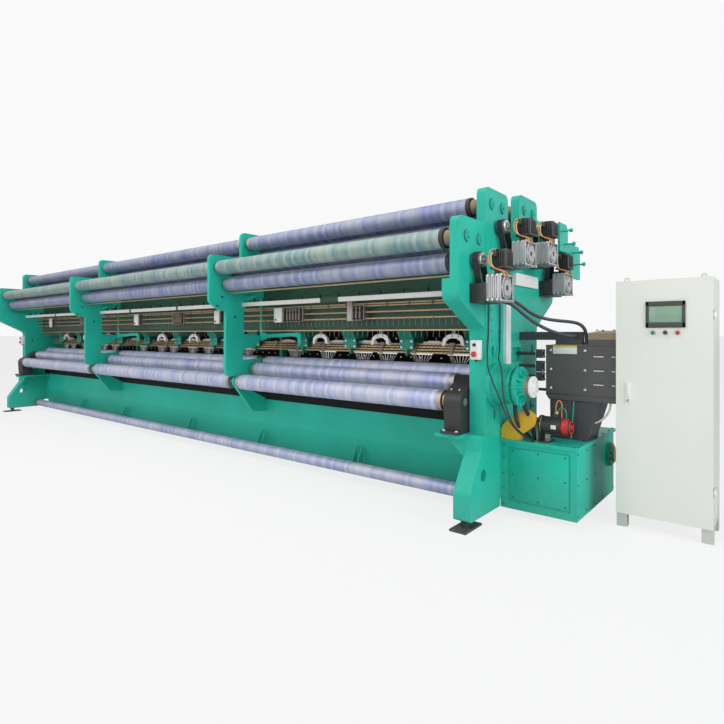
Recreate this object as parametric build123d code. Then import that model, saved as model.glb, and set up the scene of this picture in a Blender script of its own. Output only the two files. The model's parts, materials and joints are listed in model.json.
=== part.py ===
from build123d import *
import math
import os

os.makedirs("parts", exist_ok=True)

# X runs along the machine with the drive end at +X, the front faces -Y, and Z is up from
# the floor. The modelling origin is midway between the two end frames, and write() moves
# every piece to the final origin. All sizes are millimetres.

# End frames and mid frames
END_OUTER_X = 4800.0
COLUMN_T = 140.0
TAB_T = 76.0
TAB_FROM_Z = 1850.0
MID_T = 40.0
MID_NEAR_X = 1840.0
MID_FAR_X = -1600.0
FRAME_TOP_Z = 2590.0
GAP_HALF_Y = 118.0
GAP_BOTTOM_Z = 2046.0
HIGH_POST_Y = 530.0
ARM_TOP_Z = 2300.0
ARM_TIP_Y = 950.0
ARM_UNDER_Z = 1700.0
ARM_ROOT_Z = 1480.0
BACK_TOP_Z = 2660.0
BACK_ARM_TOP_Z = 2500.0
BACK_ARM_UNDER_Z = 1760.0
BACK_ARM_ROOT_Z = 1510.0
COLUMN_HALF_Y = 525.0
SHELF_TOP_Z = 676.0
SHELF_T = 30.0
SHELF_FRONT_Y = 680.0
SHELF_BACK_Y = 190.0
SHELF_REACH = 220.0
LEG_NECK_STEP = 70.0
LEG_NECK_Z = 550.0
LEG_KNUCKLE_Z = 274.0
LEG_FOOT_Y = 785.0
LEG_INNER_Y = 270.0
LEG_BOTTOM_Z = 65.0
ARCH_SPRING_Z = 120.0
ARCH_TOP_Z = 180.0
ARCH_TOP_Y = 200.0
FRAME_CORNER_R = 18.0
POST_CORNER_R = 55.0
ARM_CORNER_R = 70.0
SEAM_W = 5.0
SEAM_DEPTH = 4.0
POCKET = (-40.0, 150.0, 1215.0, 1335.0)
POCKET_DEPTH = 30.0
SLOT_LENGTH = 80.0
SLOT_WIDTH = 32.0
SLOT_CENTRES = [(-409.0, 1317.0), (-374.0, 813.0)]
LEG_HOLE_R = 46.0
LEG_HOLE_Y = 570.0
LEG_HOLE_Z = 372.0

# Mid frame posts and brackets
MID_ARM_Z = 1790.0
MID_ARM_ROOT_Y = 820.0
MID_ARM_ROOT_Z = 1705.0
MID_BACK_ARM_Z = 1870.0
MID_BACK_ROOT_Z = 1780.0
POST_OUTER_Y = 739.0
POST_INNER_Y = 509.0
POST_BOTTOM_Z = 984.0
MID_SHOULDER_Z = 1440.0
MID_COLUMN_FRONT_Y = 75.0
MID_COLUMN_BACK_Y = 300.0
WINDOW_CORNER_R = 12.0
ROD_WINDOW = [(-495.0, 1450.0), (-495.0, 1732.0), (-234.0, 1928.0), (-234.0, 1427.0)]
BAR_WINDOW = [(-509.0, 1270.0), (-323.0, 1323.0), (-234.0, 1427.0), (75.0, 1427.0),
              (75.0, 1168.0), (-174.0, 1168.0), (-509.0, 1158.0)]
SEAT_BRACKET = [(-509.0, 1023.0), (-410.0, 971.0), (-112.0, 1095.0), (75.0, 1095.0)]
BED_GUSSET = [(-618.0, 880.0), (-367.0, 568.0), (-180.0, 546.0), (-180.0, 698.0), (-535.0, 876.0)]
SEAT_BOSS_R = 60.0

# Bed beam
BED_HALF_Y = 180.0
BED_TOP_Z = 687.0
BED_KNEE_Z = 400.0
BED_BASE_Y = 110.0
BED_BOTTOM_Z = 85.0

# Running fits and clearances
JOURNAL_CLEAR = 0.1
SLIDE_CLEAR = 0.3
RUN_GAP = 6.0

# Feed rollers: three to a group, in four groups
ROLLER_R = 75.0
ROLLER_PITCH_Y = 196.0
FRONT_GROUP_Y = 740.0
FRONT_UPPER_Z = 2160.0
FRONT_LOWER_Z = 1990.0
HIGH_GROUP_Y = 326.0
HIGH_UPPER_Z = 2465.0
HIGH_LOWER_Z = 2295.0
BACK_UPPER_Z = 2320.0
BACK_LOWER_Z = 2150.0
BACK_HIGH_UPPER_Z = 2535.0
BACK_HIGH_LOWER_Z = 2365.0
ROLLER_JOURNAL_R = 25.0
ROLLER_HUB_R = 38.0
ROLLER_FLANGE_R = 70.0
ROLLER_FLANGE_T = 14.0
ROLLER_BODY_GAP = 112.0
MID_BODY_GAP = 46.0
MID_COLLAR_R = 48.0
CAP_R = 40.0
CAP_T = 12.0
CAP_GROOVE_R = 28.0
CAP_GROOVE_W = 4.0
PULLEY_R = 55.0
PULLEY_W = 60.0
PULLEY_GAP = 15.0
PULLEY_DISC_R = 34.0

# Feed drives: motor over a worm gearbox on a belt bracket
DRIVE_FEEDS = [(-660.0, 1781.0), (-205.0, 2081.0), (304.0, 2141.0), (717.0, 1908.0)]
BRACKET_DEPTH = 120.0
BRACKET_W = 270.0
BRACKET_H = 140.0
BRACKET_DROP = 35.0
BRACKET_WALL = 14.0
GEARBOX_DEPTH = 102.0
GEARBOX_W = 230.0
GEARBOX_H = 200.0
GEARBOX_CORNER_R = 26.0
GEARBOX_PLATE_T = 14.0
GEARBOX_RIB_T = 5.0
GEARBOX_RIBS = 4
GEARBOX_RIB_DEPTH = 7.0
OUTPUT_FLANGE_R = 62.0
OUTPUT_FLANGE_T = 9.0
OUTPUT_BORE_R = 22.0
DRIVE_SHAFT_R = 18.0
MOTOR_X = 4990.0
MOTOR_NECK_SIDE = 80.0
MOTOR_NECK_H = 40.0
MOTOR_SIDE = 135.0
MOTOR_FLANGE_T = 12.0
MOTOR_BODY_SIDE = 118.0
MOTOR_H = 115.0
MOTOR_GROOVE = 5.0
MOTOR_GROOVES = 5
MOTOR_CAP_R = 48.0
MOTOR_CAP_T = 14.0
MOTOR_CORNER_R = 16.0
BELT_T = 7.0
BELT_GAP = 0.4
BELT_W = 46.0

# Take-up rollers and cloth roller
TAKEUP_JOURNAL_R = 30.0
TAKEUP_FRONT_R = 83.0
TAKEUP_REAR_R = 75.0
TAKEUP_FRONT = (-575.0, 920.0)
TAKEUP_MIDDLE = (-370.0, 1050.0)
TAKEUP_REAR = (-190.0, 1115.0)
TAKEUP_BODY_GAP = 50.0
CLOTH_R = 58.0
CLOTH_AXIS = (-320.0, 140.0)
CLOTH_JOURNAL_R = 24.0
CLOTH_BODY_GAP = 20.0
CLOTH_BORE_DEPTH = 80.0

# Black take-up castings on the shelves, one at each end
CASTING_X = 150.0
FAR_CASTING_X = 210.0
CASTING_GAP = 10.0
CASTING_FRONT_R = 80.0
CASTING_MIDDLE_R = 66.0
CASTING_BASE = (-700.0, -450.0)
CASTING_BASE_T = 24.0
CASTING_WEB = 60.0
BRASS_R = 62.0
BRASS_T = 22.0

# Upper beam, rods and their carriers
BEAM_HALF_Y = 230.0
BEAM_TOP_Z = 1840.0
BEAM_BOTTOM_Z = 1480.0
BEAM_LIP = 26.0
ROD_R = 8.0
ROD_Y = 300.0
ROD_HEIGHTS = [1741.0, 1720.0, 1661.0, 1599.0]
THIN_ROD = (-700.0, 1898.0)
CARRIER_MARGIN = 24.0
CARRIER_Z = (1583.0, 1731.0)
CARRIERS = [(-4010.0, -3864.0), (-2700.0, -2453.0), (-900.0, -754.0), (120.0, 367.0),
            (1076.0, 1198.0), (2183.0, 2329.0), (2361.0, 2608.0), (3286.0, 3437.0)]
CARRIER_PLATE = (3222.0, 3286.0, 1578.0, 1805.0)
RAIL_T = 30.0
RAIL_H = 12.0
TRUNK_Y = 500.0
TRUNK_Z = 1780.0
TRUNK_SIDE = 42.0

# Guide bars, hangers, fingers and trough
BAR_COUNT = 4
BAR_Y0 = -60.0
BAR_T = 30.0
BAR_STEP_Y = 12.0
BAR_BOTTOM_Z = 1267.0
BAR_H = 14.0
BAR_PITCH_Z = 26.0
BAR_END_GAP = 60.0
HANGER_T = 16.0
HANGER_W = 160.0
HANGER_HALF_Y = 92.0
HANGER_HEAD_Y = 147.0
HANGER_HEAD_Z = 1400.0
HANGER_CHEEK_Z = 1302.0
HANGER_DROP = 26.0
HANGER_SHIFT = 167.0
HANGERS_PER_BAY = 4
ROCKER_Y = (-175.0, -150.0)
ROCKER_R = 115.0
ROCKER_BAND = 23.0
ROCKER_Z = (1343.0, 1450.0)
ROCKER_STEM = 30.0
ROCKER_PITCH = 800.0
ROCKER_SHIFT = 272.0
FINGER_PITCH = 400.0
FINGERS_PER_FAN = 7
FINGER_R = 4.0
FINGER_LENGTH = 112.0
FAN_TOP_W = 240.0
FAN_TIP_W = 60.0
FAN_RAIL_H = 12.0
FAN_RAIL_T = 24.0
FAN_SHIFT = 68.0
SHOG_RANGE = 15.0
TROUGH_FRONT_Y = -100.0
TROUGH_TOP_Z = 1190.0
TROUGH_BOTTOM_Z = 1110.0
TROUGH_WALL = 12.0
TROUGH_BACK_Y = 160.0
TROUGH_BACK_Z = 1440.0
TROUGH_END_GAP = 100.0
PUSH_ROD_R = 14.0
PUSH_ROD_Y = 130.0
COUPLINGS = [(1285.0, 36.0), (1179.0, 45.0), (1093.0, 35.0)]
COUPLING_X = (4950.0, 5008.0)
COUPLING_HALF_Y = 30.0
YOKE_T = 24.0
YOKE_MARGIN = 30.0

# Gear case, pattern drive and what stands on them
CASE_X = 609.0
CASE_FRONT_Y = -275.0
CASE_BACK_Y = 799.0
CASE_BOTTOM_Z = 60.0
CASE_TOP_Z = 610.0
CASE_LIP = 14.0
CASE_LIP_H = 26.0
CASE_PANEL_MARGIN = 60.0
CASE_PANEL_T = 8.0
CASE_EYE_R = 100.0
CASE_EYE_HUB_R = 60.0
CASE_FOOT_IN_X = 320.0
CASE_FOOT_IN_Y = 300.0
CASE_EYE_Y = 610.0
CASE_EYE_Z = 415.0
PATTERN_X0 = 5034.0
PATTERN_X1 = 5574.0
PATTERN_Y0 = 110.0
PATTERN_Y1 = 450.0
PATTERN_Z0 = 911.0
PATTERN_Z1 = 1359.0
PATTERN_CUT = (25.0, 40.0)
TOP_PLATE_X1 = 5362.0
TOP_PLATE_IN = 51.0
TOP_PLATE_T = 5.0
LID_X0 = 5368.0
LID_BASE_Z = 1406.0
LID_FRONT_Z = 1458.0
LID_BACK_Z = 1478.0
LOUVRES = [(5410.0, 5487.0), (5545.0, 5570.0)]
LOUVRE_HEIGHTS = [1270.0, 1158.0, 1048.0]
LOUVRE_H = 12.0
LOUVRE_T = 6.0
PEDESTAL_BASE = (5100.0, 5381.0, 30.0, 330.0)
PEDESTAL_TOP = (5065.0, 5456.0, 118.0, 400.0)
PEDESTAL_GROOVE = (5258.0, 5297.0)
PEDESTAL_GROOVE_T = 8.0
TIE_Y = 150.0
TIE_Z = 1400.0
TIE_H = 68.0
TIE_W = 60.0
TIE_X1 = 5320.0
TIE_BLOCK_X0 = 5110.0
LOW_TIE_Z = 983.0
LOW_TIE_R = 12.0
REDUCER_LINE = [(0.0, 172.0), (35.0, 172.0), (35.0, 150.0), (160.0, 130.0), (160.0, 146.0),
                (175.0, 146.0), (175.0, 128.0), (200.0, 128.0), (200.0, 151.0), (220.0, 151.0),
                (220.0, 88.0), (270.0, 75.0), (270.0, 70.0), (305.0, 70.0), (305.0, 75.0),
                (320.0, 75.0)]
REDUCER_FIN_X = (218.0, 268.0)
REDUCER_FIN_R = (72.0, 146.0)
REDUCER_FIN_T = 7.0
REDUCER_FINS = 12
CASE_MOTOR_R = 65.0
CASE_MOTOR_FLANGE_R = 75.0
CASE_MOTOR_Y = -150.0
CASE_MOTOR_Z = 738.0
CASE_MOTOR_X0 = 5086.0
CASE_MOTOR_FLANGE_T = 14.0
CASE_MOTOR_CAP_X = 5256.0
CASE_MOTOR_CAP_R = 58.0
CASE_MOTOR_X1 = 5322.0
MOTOR_FOOT_L = 84.0
MOTOR_FOOT_T = 12.0
MOTOR_PLUG = (5190.0, 5230.0, 832.0)
GUARD_ENDS = [(4880.0, 680.0), (5000.0, 770.0)]
GUARD_R = 73.0
GUARD_Y0 = -262.0
GUARD_Y1 = -180.0
SIDE_PLATE_X = 5000.0
SIDE_PLATE_T = 20.0
PLATE_BACK_Y = 1083.0
PLATE_LINE = [(500.0, 2450.0), (676.0, 2450.0), (721.0, 2405.0), (721.0, 2292.0), (1038.0, 2292.0),
              (PLATE_BACK_Y, 2247.0), (PLATE_BACK_Y, 1979.0), (850.0, 1979.0), (800.0, 2030.0),
              (800.0, 2195.0), (500.0, 2195.0)]
PLATE_SPACERS = [(560.0, 2420.0), (560.0, 2240.0), (900.0, 2240.0), (900.0, 2040.0)]
PLATE_SCREWS = [(524.0, 2370.0), (600.0, 2261.0), (824.0, 2210.0), (897.0, 2107.0)]
SPACER_R = 18.0
PLATE_SCREW_R = 8.0
PLATE_SCREW_L = 80.0
PLATE_KNOB_R = 17.0
PLATE_KNOB_L = 22.0

# Conduits from the near end frame to the pattern drive
CONDUIT_R = 13.5
GLAND_R = 17.0
GLAND_L = 20.0
ARC_SHARE = 0.45
UPPER_CONDUIT = [(4820.0, -290.0, 1725.0), (4895.0, -290.0, 1725.0), (4955.0, -250.0, 1685.0),
                 (5010.0, -160.0, 1612.0), (5080.0, -60.0, 1572.0), (5165.0, 20.0, 1556.0),
                 (5245.0, 88.0, 1548.0), (5300.0, 125.0, 1532.0), (5335.0, 145.0, 1492.0),
                 (5345.0, 150.0, 1440.0), (5345.0, 150.0, 1384.0)]
LOWER_CONDUIT = [(4820.0, -362.0, 1704.0), (4895.0, -362.0, 1704.0), (4950.0, -322.0, 1662.0),
                 (5000.0, -245.0, 1590.0), (5065.0, -160.0, 1524.0), (5130.0, -85.0, 1478.0),
                 (5190.0, -36.0, 1452.0), (5240.0, -10.0, 1438.0), (5272.0, 20.0, 1432.0),
                 (5285.0, 62.0, 1430.0), (5285.0, 105.0, 1430.0)]

# Small fixed pieces
ESTOP_W = 93.0
ESTOP_D = 58.0
ESTOP_Z0 = 1252.0
ESTOP_Z1 = 1403.0
ESTOP_BUTTON_R = 26.0
DUCT_T = 25.0
UPRIGHT_DUCT = (-205.0, -114.0, 1205.0, 1686.0)
LEVEL_DUCT = (-14.0, 490.0, 1862.0, 1965.0)
PAD_X = 135.0
PAD_Y = 262.0
PAD_T = 16.0
PAD_SCREW_R = 20.0

# Control cabinet
CAB_X0 = 5590.0
CAB_W = 615.0
CAB_Y0 = 60.0
CAB_D = 400.0
CAB_LEG_H = 105.0
CAB_H = 1740.0
CAB_WALL = 20.0
CAB_DOOR_T = 22.0
CAB_LEG_W = 70.0
DOOR_GAP = 0.5
HINGE_PIN_R = 5.0
HINGE_WALL = 4.0
HINGE_H = 30.0
HINGE_INSET = 260.0
SCREEN_W = 250.0
SCREEN_H = 190.0
SCREEN_Z = 1590.0
SCREEN_SHIFT = 20.0
SCREEN_T = 12.0
SWITCH_R = 14.0
SWITCH_T = 22.0
SWITCH_PITCH = 78.0
SWITCH_DROP = 130.0
HANDLE_W = 44.0
HANDLE_H = 150.0
HANDLE_T = 14.0
HANDLE_Z = 1010.0
HANDLE_INSET = 84.0
EYE_R = 14.0
EYE_WIRE_R = 4.0
EYE_INSET = 60.0

BAYS = [
    (-END_OUTER_X + COLUMN_T, MID_FAR_X - MID_T),
    (MID_FAR_X, MID_NEAR_X - MID_T),
    (MID_NEAR_X, END_OUTER_X - COLUMN_T),
]
COLUMN_IN_X = END_OUTER_X - COLUMN_T
TAB_IN_X = END_OUTER_X - TAB_T
HINGE_X = CAB_X0 + CAB_W + HINGE_PIN_R + HINGE_WALL
HINGE_Y = CAB_Y0 - DOOR_GAP - CAB_DOOR_T / 2

LEG_NECK_Y = COLUMN_HALF_Y + LEG_NECK_STEP

# The final origin is the middle of the floor area that the whole machine covers.
ORIGIN_X = (HINGE_X + HINGE_PIN_R + HINGE_WALL - END_OUTER_X - CAP_T) / 2
ORIGIN_Y = (PLATE_BACK_Y - ARM_TIP_Y) / 2


def box(x0, x1, y0, y1, z0, z1):
    """A block between three pairs of limits."""
    centre = Pos((x0 + x1) / 2, (y0 + y1) / 2, (z0 + z1) / 2)
    return centre * Box(x1 - x0, y1 - y0, z1 - z0)


def prism_x(points, x0, x1):
    """An outline of (y, z) points, drawn out along X."""
    outline = make_face(Polyline(*points, close=True))
    return extrude(Plane.YZ.offset(x0) * outline, amount=x1 - x0)


def rounded_x(corners, x0, x1):
    """An outline of (y, z, radius) corners, each rounded by its own radius, drawn out along X."""
    outline = make_face(Polyline(*[(y, z) for y, z, radius in corners], close=True))
    for size in sorted({radius for y, z, radius in corners if radius > 0}):
        places = {(round(y, 2), round(z, 2)) for y, z, radius in corners if radius == size}
        picked = [v for v in outline.vertices() if (round(v.X, 2), round(v.Y, 2)) in places]
        outline = fillet(picked, size)
    return extrude(Plane.YZ.offset(x0) * outline, amount=x1 - x0)


def prism_y(points, y0, y1):
    """An outline of (x, z) points, drawn out along Y."""
    outline = make_face(Polyline(*points, close=True))
    return extrude(Plane.XZ.offset(-y1) * outline, amount=y1 - y0)


def lathe_x(line, x, y, z):
    """A turned piece along X, from a line of (distance, radius) points."""
    points = [(line[0][0], 0.0)] + list(line) + [(line[-1][0], 0.0)]
    return Pos(x, y, z) * revolve(make_face(Polyline(*points, close=True)), Axis.X)


def link_x(ends, x0, x1):
    """A plate whose outline wraps two circles, given as (y, z, radius)."""
    (ya, za, ra), (yb, zb, rb) = ends
    heading = math.atan2(zb - za, yb - ya)
    lean = math.acos((ra - rb) / math.hypot(yb - ya, zb - za))
    corners = []
    tangents = ((ya, za, ra, lean), (yb, zb, rb, lean), (yb, zb, rb, -lean), (ya, za, ra, -lean))
    for y, z, radius, turn in tangents:
        corners.append((y + radius * math.cos(heading + turn), z + radius * math.sin(heading + turn)))
    return prism_x(corners, x0, x1) + rod_x(ya, za, ra, x0, x1) + rod_x(yb, zb, rb, x0, x1)


def rod_x(y, z, radius, x0, x1):
    """A round bar along X."""
    circle = Plane.YZ.offset(x0) * Pos(y, z) * Circle(radius)
    return extrude(circle, amount=x1 - x0)


def turned_x(steps, y, z):
    """A stepped shaft along X, from a list of (x0, x1, radius)."""
    points = [(steps[0][0], 0.0)]
    for x0, x1, radius in steps:
        points.append((x0, radius))
        points.append((x1, radius))
    points.append((steps[-1][1], 0.0))
    profile = make_face(Polyline(*points, close=True))
    return Pos(0, y, z) * revolve(profile, Axis.X)


def mirrored(points):
    """The front half of an outline, closed with its back half."""
    return points + [(-y, z) for y, z in reversed(points)]


def feed_axes():
    """Name, y, z and kind of every feed roller."""
    groups = [
        ("front", -FRONT_GROUP_Y, FRONT_UPPER_Z, FRONT_LOWER_Z),
        ("front_high", -HIGH_GROUP_Y, HIGH_UPPER_Z, HIGH_LOWER_Z),
        ("back_high", HIGH_GROUP_Y, BACK_HIGH_UPPER_Z, BACK_HIGH_LOWER_Z),
        ("back", FRONT_GROUP_Y, BACK_UPPER_Z, BACK_LOWER_Z),
    ]
    axes = []
    for name, y, upper_z, lower_z in groups:
        axes.append((name + "_a", y - ROLLER_PITCH_Y / 2, upper_z, "upper"))
        axes.append((name + "_b", y + ROLLER_PITCH_Y / 2, upper_z, "upper"))
        axes.append((name + "_c", y, lower_z, "lower"))
    return axes


def bore_feeds(solid):
    """Cut the bearing bores of all feed rollers right through."""
    for name, y, z, kind in feed_axes():
        solid -= rod_x(y, z, ROLLER_JOURNAL_R + JOURNAL_CLEAR, -END_OUTER_X - 1, END_OUTER_X + 1)
    return solid


def head_corners(side, top_z, arm_top_z):
    """Corners of one high post and the top of its arm, as (y, z, radius)."""
    return [
        (side * GAP_HALF_Y, GAP_BOTTOM_Z, FRAME_CORNER_R),
        (side * GAP_HALF_Y, top_z, POST_CORNER_R),
        (side * HIGH_POST_Y, top_z, POST_CORNER_R),
        (side * HIGH_POST_Y, arm_top_z, FRAME_CORNER_R),
        (side * ARM_TIP_Y, arm_top_z, POST_CORNER_R),
    ]


def leg_corners(side, under_z, root_z):
    """Corners of one side of an end frame from the arm's tip down to the arch."""
    return [
        (side * ARM_TIP_Y, under_z, ARM_CORNER_R),
        (side * COLUMN_HALF_Y, root_z, ARM_CORNER_R),
        (side * COLUMN_HALF_Y, SHELF_TOP_Z, FRAME_CORNER_R),
        (side * LEG_NECK_Y, SHELF_TOP_Z, FRAME_CORNER_R),
        (side * LEG_NECK_Y, LEG_NECK_Z, FRAME_CORNER_R),
        (side * LEG_FOOT_Y, LEG_KNUCKLE_Z, ARM_CORNER_R),
        (side * LEG_FOOT_Y, LEG_BOTTOM_Z, FRAME_CORNER_R),
        (side * LEG_INNER_Y, LEG_BOTTOM_Z, FRAME_CORNER_R),
        (side * LEG_INNER_Y, ARCH_SPRING_Z, FRAME_CORNER_R),
        (side * ARCH_TOP_Y, ARCH_TOP_Z, FRAME_CORNER_R),
    ]


def end_corners():
    """The whole outline of an end frame: the back half is the taller one."""
    front = head_corners(-1, FRAME_TOP_Z, ARM_TOP_Z) + leg_corners(-1, ARM_UNDER_Z, ARM_ROOT_Z)
    back = head_corners(1, BACK_TOP_Z, BACK_ARM_TOP_Z) + leg_corners(1, BACK_ARM_UNDER_Z, BACK_ARM_ROOT_Z)
    return front + back[::-1]


def end_frame(side):
    """An end upright: thin bearing tabs above, a thick column, legs and a shelf below."""
    outer = side * END_OUTER_X
    tab_in = side * TAB_IN_X
    inner = side * COLUMN_IN_X
    through = 2 * END_OUTER_X
    body = rounded_x(end_corners(), min(outer, tab_in), max(outer, tab_in))
    thick = rounded_x(end_corners(), min(tab_in, inner), max(tab_in, inner))
    below = box(-through, through, -through, through, 0, TAB_FROM_Z)
    body = body + (thick & below)
    shelf_tip = side * (COLUMN_IN_X - SHELF_REACH)
    low, high = min(shelf_tip, inner), max(shelf_tip, inner)
    body += box(low, high, -SHELF_FRONT_Y, -SHELF_BACK_Y, SHELF_TOP_Z - SHELF_T, SHELF_TOP_Z)
    gusset = make_face(Polyline(
        (inner, SHELF_TOP_Z - SHELF_T),
        (side * (COLUMN_IN_X - SHELF_REACH + SHELF_T), SHELF_TOP_Z - SHELF_T),
        (inner, LEG_NECK_Z - 2 * SHELF_T),
        close=True,
    ))
    body += extrude(Plane.XZ.offset(LEG_NECK_Y - SHELF_T) * gusset, amount=SHELF_T)
    for y, z in SLOT_CENTRES:
        for mirror_y in (-1, 1):
            slot = Rot(0, 0, 90) * SlotOverall(SLOT_LENGTH, SLOT_WIDTH)
            cutter = Plane.YZ.offset(-through) * Pos(-mirror_y * y, z) * slot
            body -= extrude(cutter, amount=2 * through)
    for mirror_y in (-1, 1):
        body -= rod_x(mirror_y * LEG_HOLE_Y, LEG_HOLE_Z, LEG_HOLE_R, -through, through)
    body = bore_feeds(body)
    for y, z in (TAKEUP_MIDDLE, TAKEUP_REAR):
        body -= rod_x(y, z, TAKEUP_JOURNAL_R + JOURNAL_CLEAR, -through, through)
    reach = COLUMN_IN_X + CLOTH_BORE_DEPTH
    body -= rod_x(CLOTH_AXIS[0], CLOTH_AXIS[1], CLOTH_JOURNAL_R + JOURNAL_CLEAR, -reach, reach)
    seam_in, seam_out = outer - side * SEAM_DEPTH, outer + side
    body -= box(min(seam_in, seam_out), max(seam_in, seam_out), -HIGH_POST_Y - SEAM_W, -HIGH_POST_Y,
                ARM_ROOT_Z, ARM_TOP_Z - 2 * FRAME_CORNER_R)
    if side > 0:
        body -= box(outer - POCKET_DEPTH, through, *POCKET)
        for z, half_h in COUPLINGS:
            body -= rod_x(PUSH_ROD_Y, z, PUSH_ROD_R + JOURNAL_CLEAR, COLUMN_IN_X - 1, through)
    return body


def takeup_casting(x_wall, thickness, inward):
    """A black casting on the shelf: a boss on a web, linked up to the middle roller's shaft."""
    y, z = TAKEUP_FRONT
    middle_y, middle_z = TAKEUP_MIDDLE
    x_tip = x_wall + inward * thickness
    x0, x1 = min(x_wall, x_tip), max(x_wall, x_tip)
    body = link_x([(y, z, CASTING_FRONT_R), (middle_y, middle_z, CASTING_MIDDLE_R)], x0, x1)
    body += prism_x([
        (y - CASTING_FRONT_R + 1, z),
        (CASTING_BASE[0] + CASTING_WEB, SHELF_TOP_Z + CASTING_BASE_T),
        (CASTING_BASE[1] - CASTING_WEB / 2, SHELF_TOP_Z + CASTING_BASE_T),
        (y + CASTING_FRONT_R - 1, z),
    ], x0, x1)
    body += box(x0, x1, *CASTING_BASE, SHELF_TOP_Z, SHELF_TOP_Z + CASTING_BASE_T)
    return body


def mid_corners():
    """A mid frame's outline, from the middle gap round the front and back to the start."""
    round_foot = (POST_OUTER_Y - POST_INNER_Y) / 4
    front = head_corners(-1, FRAME_TOP_Z, ARM_TOP_Z) + [
        (-ARM_TIP_Y, MID_ARM_Z, POST_CORNER_R),
        (-MID_ARM_ROOT_Y, MID_ARM_ROOT_Z, FRAME_CORNER_R),
        (-POST_OUTER_Y, MID_ARM_ROOT_Z, 0),
        (-POST_OUTER_Y, POST_BOTTOM_Z, round_foot),
        (-POST_INNER_Y, POST_BOTTOM_Z, 0),
    ]
    seats = [(y, z, 0) for y, z in SEAT_BRACKET]
    column = [
        (MID_COLUMN_FRONT_Y, BED_TOP_Z, 0),
        (MID_COLUMN_BACK_Y, BED_TOP_Z, 0),
        (MID_COLUMN_BACK_Y, MID_SHOULDER_Z, FRAME_CORNER_R),
        (POST_INNER_Y, MID_SHOULDER_Z, 0),
    ]
    back = head_corners(1, BACK_TOP_Z, BACK_ARM_TOP_Z) + [
        (ARM_TIP_Y, MID_BACK_ARM_Z, POST_CORNER_R),
        (MID_ARM_ROOT_Y, MID_BACK_ROOT_Z, FRAME_CORNER_R),
        (POST_OUTER_Y, MID_BACK_ROOT_Z, 0),
        (POST_OUTER_Y, POST_BOTTOM_Z, round_foot),
        (POST_INNER_Y, POST_BOTTOM_Z, round_foot),
    ]
    return front + seats + column + back[::-1]


def mid_frame(x_face):
    """A mid frame: a windowed plate with roller arms and seats, and a gusset on the bed."""
    x0, x1 = x_face - MID_T, x_face
    plate = rounded_x(mid_corners(), x0, x1)
    for window in (ROD_WINDOW, BAR_WINDOW):
        plate -= rounded_x([(y, z, WINDOW_CORNER_R) for y, z in window], x0 - 1, x1 + 1)
    plate = bore_feeds(plate)
    for y, z in (TAKEUP_MIDDLE, TAKEUP_REAR):
        plate -= rod_x(y, z, TAKEUP_JOURNAL_R + JOURNAL_CLEAR, x0 - 1, x1 + 1)
    y, z = TAKEUP_FRONT
    gusset = prism_x(BED_GUSSET, x0, x1) + rod_x(y, z, SEAT_BOSS_R, x0, x1)
    gusset -= rod_x(y, z, TAKEUP_JOURNAL_R + JOURNAL_CLEAR, x0 - 1, x1 + 1)
    return [plate, gusset]


def bed_beam():
    """The box beam that ties the end frames and carries the mid frames."""
    outline = mirrored([
        (-BED_BASE_Y, BED_BOTTOM_Z),
        (-BED_HALF_Y, BED_KNEE_Z),
        (-BED_HALF_Y, BED_TOP_Z),
    ])
    return prism_x(outline, -COLUMN_IN_X, COLUMN_IN_X)


def upper_beam():
    """The covered cross beam over the guide bars, one length in each bay."""
    outline = [
        (-BEAM_HALF_Y, BEAM_BOTTOM_Z),
        (-BEAM_HALF_Y, BEAM_TOP_Z),
        (-BEAM_HALF_Y + BEAM_LIP, BEAM_TOP_Z + BEAM_LIP),
        (BEAM_HALF_Y - BEAM_LIP, BEAM_TOP_Z + BEAM_LIP),
        (BEAM_HALF_Y, BEAM_TOP_Z),
        (BEAM_HALF_Y, BEAM_BOTTOM_Z),
    ]
    return [prism_x(outline, x0, x1) for x0, x1 in BAYS]


def needle_rail():
    """The steel rail under the beam's front edge."""
    y0 = -BEAM_HALF_Y - RAIL_T
    return [box(x0, x1, y0, -BEAM_HALF_Y, BEAM_BOTTOM_Z, BEAM_BOTTOM_Z + RAIL_H) for x0, x1 in BAYS]


def thread_rods():
    """Round rods past the frames' windows, and a thin one under the front rollers in each bay."""
    rods = [rod_x(-ROD_Y, z, ROD_R, -COLUMN_IN_X, COLUMN_IN_X) for z in ROD_HEIGHTS]
    for x0, x1 in BAYS:
        rods.append(rod_x(*THIN_ROD, ROD_R, x0, x1))
    return rods


def rod_carriers():
    """Bored blocks that hold the rods off the beam, and one tall plate."""
    limits = [(x0, x1, *CARRIER_Z) for x0, x1 in CARRIERS]
    blocks = []
    for x0, x1, z0, z1 in limits + [CARRIER_PLATE]:
        block = box(x0, x1, -ROD_Y - CARRIER_MARGIN, -BEAM_HALF_Y, z0, z1)
        for z in ROD_HEIGHTS:
            if z < z1:
                block -= rod_x(-ROD_Y, z, ROD_R + JOURNAL_CLEAR, x0 - 1, x1 + 1)
        blocks.append(block)
    return blocks


def trunking():
    """Cable trunking along the front of the bays."""
    half = TRUNK_SIDE / 2
    pieces = []
    for x0, x1 in BAYS:
        pieces.append(box(x0, x1, -TRUNK_Y - half, -TRUNK_Y + half, TRUNK_Z - half, TRUNK_Z + half))
    return pieces


def wall_ducts():
    """The upright duct, the level duct and the conduits' glands on the near end frame."""
    x0, x1 = END_OUTER_X, END_OUTER_X + DUCT_T
    pieces = [box(x0, x1, *UPRIGHT_DUCT), box(x0, x1, *LEVEL_DUCT)]
    for x, y, z in (UPPER_CONDUIT[0], LOWER_CONDUIT[0]):
        pieces.append(rod_x(y, z, GLAND_R, x - GLAND_L, x))
    return pieces


def bar_corner(index):
    """Y and Z of the lower front edge of a guide bar: higher bars stand further back."""
    return BAR_Y0 + index * BAR_STEP_Y, BAR_BOTTOM_Z + index * BAR_PITCH_Z


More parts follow.
